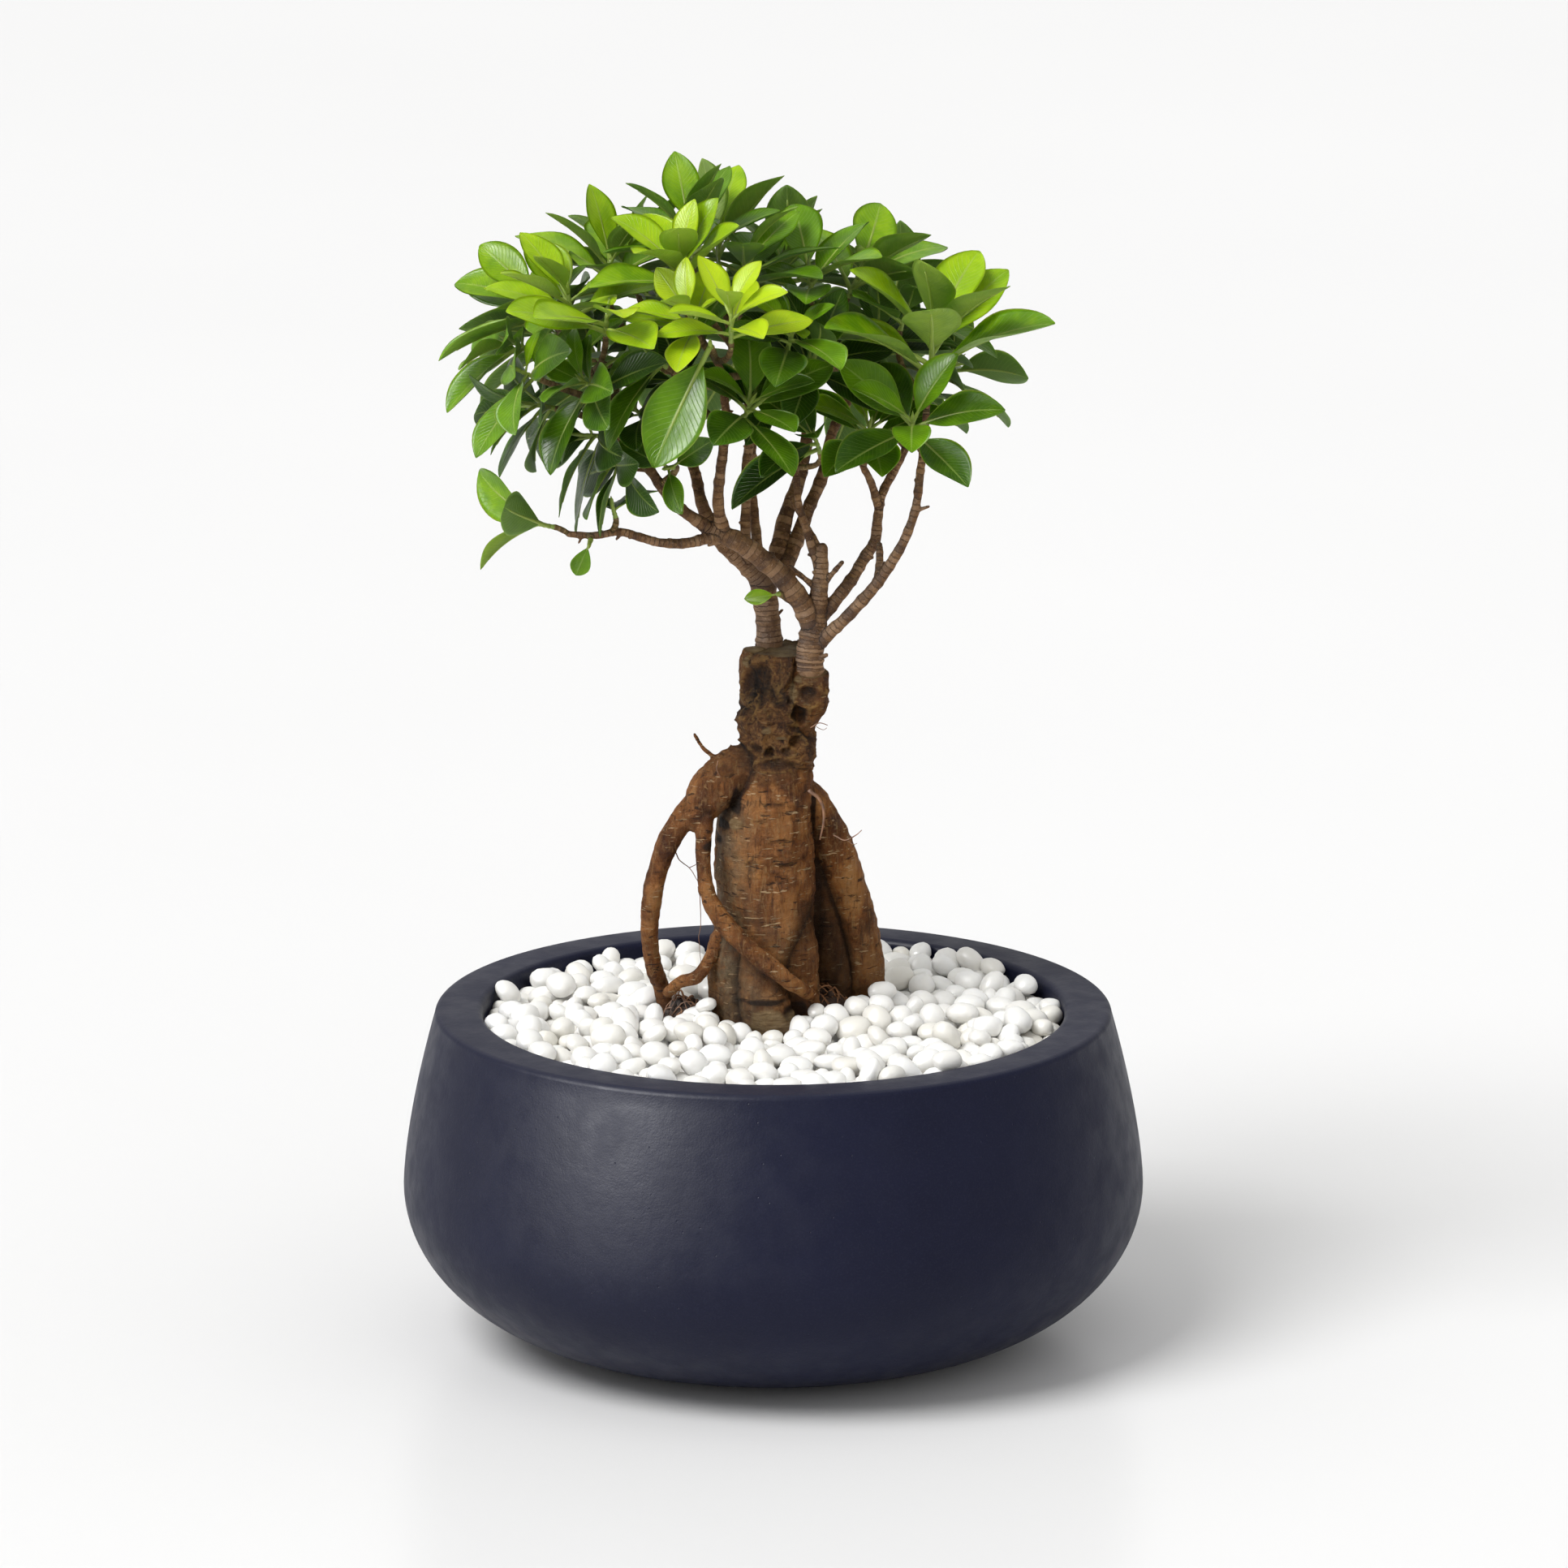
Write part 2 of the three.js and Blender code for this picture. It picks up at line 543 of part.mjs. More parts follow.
/** How high the pebbles stand over a point of the plan: a low crown with rounded bumps. */
function pebbleHeight(x, y) {
  const out = Math.hypot(x, y) / (POT.rimRadius - POT.rimWidth);
  const wave = (2 * Math.PI) / PEBBLE.bumpLength;
  const bumps = Math.sin(x * wave) * Math.cos(y * wave);
  return pebbleTop + PEBBLE.crown * (1 - out * out) + PEBBLE.bump * bumps * 0.5;
}

/** The top dressing before the roots are cut out of it: a disc whose upper face is bumpy. */
function pebbleDisc(low) {
  const rings = 8;
  const reach = POT.rimRadius - POT.rimWidth - CLEARANCE;
  const outline = [[0, 0], [reach, 0]];
  for (let i = rings; i >= 0; i--) outline.push([(reach * i) / rings, 1]);
  const disc = turned(outline);
  const at = disc.getAttribute("position");
  for (let i = 0; i < at.count; i++) {
    at.setZ(i, at.getZ(i) > 0.5 ? pebbleHeight(at.getX(i), at.getY(i)) : low);
  }
  return disc;
}

// ---------------------------------------------------------------- wood

const treeLift = soilTop - DRAWN_SOIL_TOP;
const raised = (limb) => limb.map(([x, y, z, radius]) => [x, y, z + treeLift, radius]);

function limbSolid(limb, sides, steps, grow = 0) {
  const stations = spine(raised(limb), steps).map(({ point, radius }) => ({ point, radius: radius + grow }));
  return solid(tube(stations, sides));
}

function rootstockSolid(grow = 0) {
  const thick = 8; // limbs with a radius over this get more sides
  return Object.values(ROOTSTOCK)
    .map((limb) => limbSolid(limb, Math.max(...limb.map((p) => p[3])) > thick ? 12 : 7, 1, grow))
    .reduce((whole, piece) => whole.add(piece));
}

/** The twig from the nearest limb to a shoot's base, leaving the limb sideways and arriving along the shoot. */
function twigTo(base, aim, limbs) {
  const leastClimb = 8; // a twig is drawn to a limb this far below its shoot, or less so if the shoot hangs
  const hangingShare = 0.4;
  const arrival = 0.45; // how much of the way it runs along the shoot's own line
  const stepLength = 12;
  const climbWeight = aim.z > 0 ? 2 : 2 * hangingShare;
  let best = null;
  for (const { scion, stations } of limbs) {
    for (const { point, radius } of stations) {
      const climb = base.z - point.z;
      const cost = point.distanceTo(base) + climbWeight * Math.max(0, leastClimb - climb);
      if (!best || cost < best.cost) best = { cost, scion, point, radius };
    }
  }
  const span = best.point.distanceTo(base);
  const control = base.clone().addScaledVector(aim, -arrival * span);
  const curve = new THREE.QuadraticBezierCurve3(best.point, control, base);
  const steps = Math.max(2, Math.round(span / stepLength));
  const start = Math.min(TWIG_RADIUS.atLimb, best.radius * LIMB_SHARE);
  const stations = Array.from({ length: steps + 1 }, (_, i) => ({
    point: curve.getPoint(i / steps),
    radius: THREE.MathUtils.lerp(start, TWIG_RADIUS.atShoot, i / steps),
  }));
  return { scion: best.scion, stations };
}

// ---------------------------------------------------------------- leaves

/**
 * Half width of a leaf's blade at a share t of its length, as a share of its widest half width. The powers make the
 * foot a narrow wedge and the tip short, and the slope sets the widest place a little past the middle.
 */
function bladeShape(t) {
  const wedge = 0.95 - 0.12 * t;
  const slope = 0.88 + 0.24 * t;
  return t <= 0 || t >= 1 ? 0 : Math.sin(Math.PI * t) ** wedge * slope;
}

/** A point of a leaf's middle surface: t runs from the blade's foot, 0, to its tip, 1, and s from edge, -1, to edge, 1. */
function leafPoint(leaf, t, s, lift = 0) {
  const petiole = LEAF.petiole * leaf.length;
  const whole = petiole + leaf.length;
  const share = (petiole + t * leaf.length) / whole;
  const turn = leaf.bend * share;
  const reach = (whole * Math.sin(turn)) / leaf.bend;
  const drop = (whole * (1 - Math.cos(turn))) / leaf.bend;
  const facing = leaf.out.clone().multiplyScalar(Math.sin(turn)).addScaledVector(leaf.up, Math.cos(turn));
  const roll = leaf.twist * t;
  const side = leaf.side.clone().multiplyScalar(Math.cos(roll)).addScaledVector(facing, Math.sin(roll));
  facing.multiplyScalar(Math.cos(roll)).addScaledVector(leaf.side, -Math.sin(roll));
  const half = 0.5 * LEAF.width * leaf.length * bladeShape(t);
  return leaf.foot
    .clone()
    .addScaledVector(leaf.out, reach)
    .addScaledVector(leaf.up, -drop)
    .addScaledVector(side, half * s)
    .addScaledVector(facing, half * leaf.cup * s * s + lift);
}

/** Points spread over a leaf, for keeping leaves apart. */
function leafSamples(leaf) {
  const spacing = 1.9;
  const rows = Math.ceil(leaf.length / spacing);
  const samples = [];
  for (let i = -Math.floor(LEAF.petiole * rows); i <= rows; i++) {
    const t = i / rows;
    const half = 0.5 * LEAF.width * leaf.length * bladeShape(t);
    const columns = Math.ceil(half / spacing);
    for (let k = -columns; k <= columns; k++) {
      samples.push({ point: leafPoint(leaf, t, k / Math.max(1, columns)), t });
    }
  }
  return samples;
}

/** A shoot's leaf for one try at finding room: its foot on the stem and how it spreads. */
function leafOn(shoot, number, i, nudge) {
  const spec = shoot.spec;
  const alone = spec.leaves === 1;
  const along = (i + 0.5) / spec.leaves;
  const scatter = (draw, range) => range * (chance(number, i + draw) - 0.5);
  const spread = alone ? spec.open : spec.open * (1 - along) ** SETTING.openFade + SETTING.tipOpen;
  const angle = degrees(spread + scatter(0, SETTING.openScatter) + nudge.open);
  const turn = degrees(spec.turn + SETTING.spiral * i + nudge.turn);
  const radial = shoot.across.clone().multiplyScalar(Math.cos(turn)).addScaledVector(shoot.other, Math.sin(turn));
  const out = shoot.aim.clone().multiplyScalar(Math.cos(angle)).addScaledVector(radial, Math.sin(angle));
  const up = shoot.aim.clone().multiplyScalar(Math.sin(angle)).addScaledVector(radial, -Math.cos(angle));
  const drawn = SETTING.leastLength + SETTING.lengthScatter * chance(number, i + 40);
  const share = alone ? 1 : (1 - SETTING.tipShrink * along * along) * drawn;
  const footShare = SETTING.lowestFoot + (1 - SETTING.lowestFoot) * along;
  return {
    foot: shoot.base.clone().addScaledVector(shoot.aim, spec.stem * footShare),
    out,
    up,
    side: up.clone().cross(out),
    length: spec.leaf * share * nudge.size,
    bend: degrees(SETTING.bend + SETTING.bendScatter * chance(number, i + 80) + SETTING.bendRipe * spec.ripe),
    cup: SETTING.cup + SETTING.cupScatter * chance(number, i + 120),
    twist: degrees(scatter(160, SETTING.twistScatter)),
  };
}

/** The ways a leaf may turn, open or stay smaller to find room, the smallest change first. */
const NUDGES = [1, 0.86, 0.72, 0.58].flatMap((size) =>
  [0, -12, 12, -24, 24].flatMap((open) => [0, 16, -16, 32, -32].map((turn) => ({ size, open, turn }))),
);

/** Points in space, sorted into cubes so that the ones near a place are quick to find. */
class Crowd {
  constructor(cube) {
    this.cube = cube;
    this.cubes = new Map();
  }

  key(x, y, z) {
    return `${x},${y},${z}`;
  }

  cell(value) {
    return Math.floor(value / this.cube);
  }

  add(entry) {
    const { x, y, z } = entry.point;
    const key = this.key(this.cell(x), this.cell(y), this.cell(z));
    if (!this.cubes.has(key)) this.cubes.set(key, []);
    this.cubes.get(key).push(entry);
  }

  /** Whether some point is nearer than its room and isn't excused by the test. */
  isNear(point, excused) {
    const [x, y, z] = [point.x, point.y, point.z].map((value) => this.cell(value));
    for (let i = x - 1; i <= x + 1; i++) {
      for (let j = y - 1; j <= y + 1; j++) {
        for (let k = z - 1; k <= z + 1; k++) {
          for (const other of this.cubes.get(this.key(i, j, k)) ?? []) {
            if (excused(other)) continue;
            if (other.point.distanceToSquared(point) < other.room * other.room) return true;
          }
        }
      }
    }
    return false;
  }
}

/** Grows every leaf in turn, each at the first nudge that keeps it clear of bark and of the leaves before it. */
function growLeaves(shoots, bark) {
  const leaves = new Crowd(LEAF_ROOM);
  const wood = new Crowd(Math.max(...bark.map(({ radius }) => radius)) + BARK_ROOM);
  bark.forEach(({ point, radius, owner }) => wood.add({ point, room: radius + BARK_ROOM, owner }));
  const clear = (samples, shoot) =>
    samples.every(({ point, t }) => {
      const ownFoot = (other) => other.owner === shoot && t < FOOT_SHARE && other.t < FOOT_SHARE;
      const ownStem = (other) => other.owner === shoot;
      return !leaves.isNear(point, ownFoot) && !wood.isNear(point, ownStem);
    });
  shoots.forEach((shoot, number) => {
    for (let i = 0; i < shoot.spec.leaves; i++) {
      for (const nudge of NUDGES) {
        const leaf = leafOn(shoot, number, i, nudge);
        const samples = leafSamples(leaf);
        if (!clear(samples, shoot)) continue;
        samples.forEach(({ point, t }) => leaves.add({ point, t, room: LEAF_ROOM, owner: shoot }));
        shoot.grown.push(leaf);
        break;
      }
    }
  });
}

/** One leaf as a thin closed lens, from its foot inside the stem, over two rings of four points, to its tip. */
function leafGeometry(leaf) {
  const half = LEAF.thickness / 2;
  const widening = 0.3;
  const narrowing = 0.72;
  const ring = (t) => [
    leafPoint(leaf, t, 1),
    leafPoint(leaf, t, 0, half),
    leafPoint(leaf, t, -1),
    leafPoint(leaf, t, 0, -half),
  ];
  const points = [leaf.foot, ...ring(widening), ...ring(narrowing), leafPoint(leaf, 1, 0)];
  const foot = 0;
  const tip = points.length - 1;
  const index = [];
  for (let k = 0; k < 4; k++) {
    const next = (k + 1) % 4;
    const [a, b, c, d] = [1 + k, 1 + next, 5 + next, 5 + k];
    index.push(foot, b, a, a, b, c, a, c, d, d, c, tip);
  }
  return new THREE.BufferGeometry()
    .setAttribute("position", new THREE.Float32BufferAttribute(points.flatMap((p) => p.toArray()), 3))
    .setIndex(index);
}

// ---------------------------------------------------------------- the tree

function makeShoots() {
  return Object.entries(SHOOTS).map(([name, spec]) => {
    const base = vec(spec.base);
    base.z += treeLift;
    const aim = vec(spec.aim).normalize();
    const across = new THREE.Vector3(1, 0, 0);
    if (Math.abs(aim.x) > 0.8) across.set(0, 1, 0);
    across.addScaledVector(aim, -across.dot(aim)).normalize();
    return { name, spec, base, aim, across, other: aim.clone().cross(across), grown: [] };
  });
}

/** The stem that a shoot's leaves sit on, starting just clear of its twig. */
function stemStations(shoot) {
  const start = shoot.base.clone().addScaledVector(shoot.aim, SHOOT_GAP);
  const end = shoot.base.clone().addScaledVector(shoot.aim, shoot.spec.stem);
  return [
    { point: start, radius: TWIG_RADIUS.atShoot },
    { point: end, radius: TWIG_RADIUS.atTip },
  ];
}

/** Points along a stem or limb for keeping leaves off it. */
function barkPoints(stations, owner) {
  const spacing = 1.5;
  return stations.slice(1).flatMap((b, i) => {
    const a = stations[i];
    const count = Math.max(1, Math.ceil(a.point.distanceTo(b.point) / spacing));
    return Array.from({ length: count }, (_, k) => ({
      point: a.point.clone().lerp(b.point, (k + 1) / count),
      radius: THREE.MathUtils.lerp(a.radius, b.radius, (k + 1) / count),
      owner,
    }));
  });
}

function growTree() {
  const shoots = makeShoots();
  const limbs = Object.entries(SCIONS).flatMap(([scion, list]) =>
    Object.values(list).map((limb) => ({ scion, stations: spine(raised(limb), 3) })),
  );
  const twigs = shoots.map((shoot) => ({ shoot, ...twigTo(shoot.base, shoot.aim, limbs) }));
  const bark = [
    ...limbs.flatMap(({ stations }) => barkPoints(stations, null)),
    ...twigs.flatMap(({ stations, shoot }) => barkPoints(stations, shoot)),
    ...shoots.flatMap((shoot) => barkPoints(stemStations(shoot), shoot)),
  ];
  growLeaves(shoots, bark);
  return { shoots, twigs };
}

function scionSolid(name, twigs) {
  const limbs = Object.values(SCIONS[name]).map((limb) => limbSolid(limb, 5, 1));
  const own = twigs.filter(({ scion }) => scion === name).map(({ stations }) => solid(tube(stations, 4)));
  return [...limbs, ...own].reduce((whole, piece) => whole.add(piece));
}

const { shoots, twigs } = growTree();
const rootstock = rootstockSolid();
const rootRoom = rootstockSolid(CLEARANCE);

const group = new THREE.Group();
group.name = "ginseng_ficus_bonsai";

function addPiece(name, geometry, colour, roughness) {
  const material = new THREE.MeshStandardMaterial({ color: colour, roughness, metalness: 0 });
  const mesh = new THREE.Mesh(geometry, material);
  mesh.name = name;
  group.add(mesh);
}

addPiece("pot", potGeometry(), COLOUR.pot, 0.6);

const soilOutline = potInside(CLEARANCE).filter(([, z]) => z < soilTop);
const soilRim = potInside(CLEARANCE).at(-1)[0];
const soilBody = solid(turned([...soilOutline, [soilRim, soilTop], [0, soilTop]]));
const mounds = BARE_SOIL.map((spot) => solid(patch(spot, soilTop - 2, moundTop, 0)));
const soil = mounds.reduce((whole, mound) => whole.add(mound), soilBody).subtract(rootRoom);
addPiece("soil", geometryOf(soil), COLOUR.soil, 0.95);

const spots = BARE_SOIL.map((spot) => solid(patch(spot, soilTop - 2, POT.height + 20, CLEARANCE)));
const dressing = spots.reduce(
  (whole, spot) => whole.subtract(spot),
  solid(pebbleDisc(soilTop + CLEARANCE)).subtract(rootRoom),
);
addPiece("pebble_layer", geometryOf(dressing), COLOUR.pebbles, 0.5);

const scionRight = scionSolid("scion_right", twigs);
const scionLeft = scionSolid("scion_left", twigs);
addPiece("rootstock", geometryOf(rootstock), COLOUR.bark, 0.8);
addPiece("scion_left", geometryOf(scionLeft.subtract(rootRoom)), COLOUR.youngBark, 0.8);
addPiece("scion_right", geometryOf(scionRight.subtract(rootRoom)), COLOUR.youngBark, 0.8);

for (const shoot of shoots) {
  const pieces = [tube(stemStations(shoot), 4), ...shoot.grown.map(leafGeometry)];
  const colour = new THREE.Color(COLOUR.newLeaf).lerp(new THREE.Color(COLOUR.oldLeaf), shoot.spec.ripe);
  addPiece(`shoot_${shoot.name}`, geometryOf(joined(pieces).simplify(SHORTEST_EDGE)), colour, 0.4);
}

export default group;
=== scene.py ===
"""A ginseng ficus bonsai in a round navy bowl: the looks of every piece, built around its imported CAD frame.

Blender works in metres. The tables of limbs and shoots, and the plain numbers beside them, are in
millimetres, which suit a small tree better; MM turns them into metres where a mesh is made.
The front faces -Y, +Z is up and the origin is the middle of the bowl's base.
"""

import math

import bpy
import numpy as np
from bpy.props import FloatProperty, IntProperty, PointerProperty
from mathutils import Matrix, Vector
from mathutils.kdtree import KDTree


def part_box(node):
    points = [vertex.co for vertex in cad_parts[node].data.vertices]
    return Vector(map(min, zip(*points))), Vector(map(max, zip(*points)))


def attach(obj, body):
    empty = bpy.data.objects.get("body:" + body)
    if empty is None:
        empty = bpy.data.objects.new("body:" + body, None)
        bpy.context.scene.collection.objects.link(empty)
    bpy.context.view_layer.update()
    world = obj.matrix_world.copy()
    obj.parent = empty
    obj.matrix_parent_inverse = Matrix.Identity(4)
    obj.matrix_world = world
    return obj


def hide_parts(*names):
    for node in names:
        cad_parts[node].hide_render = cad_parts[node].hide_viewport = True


bl_info = {
    "name": "Ginseng Ficus Bonsai",
    "version": (1, 0, 0),
    "blender": (4, 5, 0),
    "location": "View3D > Sidebar > Bonsai",
    "description": "Builds a bonsai tree in a pebble-topped bowl around its CAD frame",
    "category": "Add Mesh",
}

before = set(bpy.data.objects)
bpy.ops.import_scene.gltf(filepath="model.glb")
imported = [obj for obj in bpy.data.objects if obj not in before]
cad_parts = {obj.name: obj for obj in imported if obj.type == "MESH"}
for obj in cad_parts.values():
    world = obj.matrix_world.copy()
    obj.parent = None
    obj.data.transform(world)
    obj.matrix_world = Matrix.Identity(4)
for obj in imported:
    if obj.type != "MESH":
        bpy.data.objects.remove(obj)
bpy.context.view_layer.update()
MM = 0.001
SOIL_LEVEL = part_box("pebble_layer")[0][2] / MM
SEED = 11

# ------------------------------------------------------------------------------------------------ the tree

# Where soil shows between the roots instead of pebbles: middle and half widths.
BARE_SOIL = [(18, 3, 14, 13), (-33, 0, 9, 8)]

# The rootstock's limbs, each a list of x, y, z and radius.
ROOTSTOCK = {
    "bulb": [
        (-8, 2, 88, 8), (-6, 1, 104, 13), (-3, 1, 120, 15), (-2, 1, 137, 15.5), (-2, 0, 152, 16.8),
        (-3, 0, 167, 17.8), (-3, 0, 185, 18.2), (-2, 0, 198, 16.5), (0, 0, 212, 14), (1, 0, 222, 13.1),
        (1, 0, 235, 13.1), (2.5, 0, 246, 13.6), (2.5, 0, 259, 12),
    ],
    "stump_left": [(-3, 1, 232, 6), (-5, 0, 242, 8), (-5.5, 0, 251, 7.6), (-5.5, 0, 259.5, 6)],
    "stump_right": [(8, -3, 230, 6), (11, -5, 239, 7.6), (12.5, -7, 247, 7.6), (13, -8, 252.5, 6.4)],
    "foot_left": [(-9, -1, 164, 9), (-12, -3, 148, 11), (-13, -5, 134, 12), (-12, -6, 120, 11), (-10, -6, 102, 7)],
    "foot_front": [(-8, -6, 150, 8), (-6, -10, 137, 9.5), (-3, -14, 127, 9.8), (0, -15, 117, 9), (3, -15, 102, 6)],
    "foot_right": [(4, -2, 162, 10), (6, -4, 146, 10), (8, -4, 132, 8.5), (9, -4, 106, 6)],
    "leg": [
        (8, 1, 210, 5), (14, 4, 200, 6.6), (19, 9, 186, 8), (23, 15, 169, 9.6), (27, 20, 153, 10.4),
        (30, 23, 138, 10.2), (33, 25, 124, 9.4), (36, 27, 98, 5.5),
    ],
    "shoulder": [
        (-3, 0, 217, 8), (-11, -2, 215, 9.2), (-19, -5, 210.5, 9.2), (-25, -8, 205, 8.2), (-28.5, -10, 199, 6),
    ],
    "web": [(8, 6, 192, 5), (13, 9, 174, 7.5), (17, 12, 154, 8.5), (20, 14, 136, 8.5), (22, 16, 104, 6)],
    "outer_root": [
        (-24, -7, 207, 5.6), (-31, -9, 201, 5), (-38, -11, 190.5, 4.2), (-42.5, -11, 178, 3.8), (-45, -10, 164, 3.5),
        (-45.5, -6, 151, 3.4), (-44, -1, 139, 3.2), (-41, 5, 128, 3), (-38, 8, 104, 2),
    ],
    "inner_root": [
        (-25, -11, 203, 4), (-25.5, -14, 193, 3.1), (-25.5, -17, 181, 2.8),
        (-23.5, -19, 170, 3), (-18, -21, 161, 3.4),
        (-10, -22.5, 153, 3.7), (-1, -22.5, 145, 3.4), (6, -20.5, 138.5, 3), (11, -15, 134, 2.6), (15, -6, 127, 2.2),
        (17, 0, 108, 1.8),
    ],
    "curled_root": [
        (-20, -8, 154, 2.2), (-23, -12, 146, 2.4), (-28, -14, 139, 2.5), (-34, -10, 136, 2.3), (-39, -3, 130, 2.1),
    ],
    "spur": [(-18, -3, 216, 1.6), (-22, -3, 219.5, 1.1), (-26, -3, 223, 0.9), (-29, -3, 228, 0.7)],
}

# The scions' limbs. Each starts inside the limb that it grows from.
SCIONS = {
    "scion_left": {
        "stem": [(-1.5, 6, 260, 4.7), (-2, 6, 270, 4.3), (-3, 6.5, 279, 4.4), (-6, 6, 288, 4.5)],
        "head": [
            (-4, 6, 284, 4.4), (-10, 4, 291, 4), (-17, 1, 298, 3.4), (-22, -1, 305, 2.8), (-26, -2, 314, 2.1),
            (-28, 1, 323, 1.9), (-31, 6, 334, 1.7), (-33, 10, 349, 1.5), (-38, 16, 366, 1.2),
        ],
        "rear_left": [
            (-4, 7, 280, 3.6), (1, 13, 290, 3), (4, 19, 303, 2.7), (9, 26, 316, 2.4), (12, 33, 329, 2.1),
            (11, 39, 346, 1.7), (4, 44, 364, 1.3),
        ],
        "rear_right": [
            (-4, 6, 281, 3.4), (4, 12, 288, 2.9), (9, 17, 297, 2.6), (13, 22, 307, 2.3), (18, 27, 318, 2.1),
            (22, 32, 334, 1.7), (30, 38, 350, 1.3),
        ],
        "middle_front": [
            (-9, 3, 291, 2.6), (-10, -3, 300, 1.9), (-10, -4, 312, 1.7), (-10, -4, 323, 1.6), (-9, -3, 334, 1.6),
            (-9, -4, 348, 1.4), (-12, -6, 370, 1.2),
        ],
        "middle_rear": [
            (-6, 5, 288, 2.4), (-6, 5, 296, 1.9), (-7, 7, 306, 1.7), (-8, 10, 317, 1.6), (-8, 13, 328, 1.5),
            (-8, 15, 345, 1.4), (-14, 18, 368, 1.2),
        ],
    },
    "scion_right": {
        "stem": [
            (13, -8, 253, 5.3), (13.3, -8, 258, 4.9), (14, -7.5, 265, 4.4),
            (15.5, -7, 272, 4.1), (16.5, -7, 280, 3.1),
            (17.5, -6.5, 288, 2.6), (18, -6, 298, 2),
        ],
        "big_branch": [
            (15, -7, 267, 3.9), (10.5, -9, 278, 3.8), (3.5, -10.5, 288, 3.7),
            (-5, -12, 296.5, 3.6), (-14, -14, 303, 3.3),
            (-22, -15, 307, 2.7), (-28, -16, 311, 2),
        ],
        "low_left": [
            (-19, -15, 305, 2.3), (-25, -17, 304, 2), (-33, -20, 303, 1.7),
            (-41, -23, 304, 1.5), (-49, -26, 307, 1.4),
            (-56, -28, 309, 1.3), (-64, -29, 308, 1.2), (-74, -29, 308.5, 1),
        ],
        "left": [
            (-22, -15, 307, 2.4), (-32, -18, 314, 2), (-39, -19, 322, 1.8),
            (-44, -20, 329, 1.7), (-50, -20, 337, 1.6),
            (-58, -20, 350, 1.4), (-66, -18, 366, 1.2),
        ],
        "front_left": [
            (-18, -14, 305, 2.5), (-20, -19, 317, 2), (-19, -25, 330, 1.8),
            (-18, -30, 342, 1.6), (-17, -34, 354, 1.5),
            (-18, -38, 368, 1.3), (-22, -42, 378, 1.1),
        ],
        "wisp_left": [
            (17.3, -6.5, 287, 1.5), (13.5, -6, 300, 1.3), (9.5, -7, 315, 1.2), (8, -7, 326, 1.1), (7.5, -7, 333, 0.9),
        ],
        "wisp_rear": [(18, -6, 295, 1.3), (14, -3, 303, 1.1), (9, 0, 311, 0.9), (6.5, 2, 316, 0.8)],
        "stub_right": [(17.5, -6.5, 284, 1.2), (21, -8, 289, 0.9), (25, -9, 294, 0.7)],
        "stub_left": [(17, -6.5, 282, 1.2), (11.5, -8, 287.5, 0.9), (6.5, -9, 292, 0.7)],
        "right": [
            (16.5, -7, 272, 2.9), (24, -4, 280, 2.2), (29, 0, 286, 2.1), (33, 4, 292, 2), (37, 6, 298, 1.9),
            (38, 8, 306, 1.7), (39, 9, 313, 1.6), (42, 10, 320, 1.5), (47, 11, 329, 1.4), (52, 12, 339, 1.2),
        ],
        "right_fork": [(38.5, 8.5, 310, 1.5), (36, 5, 320, 1.3), (33, 0, 328, 1.1)],
        "outer_right": [
            (15, -7.5, 262, 2.9), (23, -11, 270, 2.2), (30, -14, 278, 2.1), (38, -17, 288, 2), (44, -19, 297, 1.8),
            (49, -21, 308, 1.6), (52, -21, 319, 1.5), (53.5, -20, 330, 1.4), (54.5, -20, 341, 1.3),
            (55.5, -20, 357, 1.1),
        ],
        "outer_stub": [(38, -17, 288, 1.6), (38.5, -12, 294, 1.3), (38.5, -9, 300, 1.1)],
    },
}

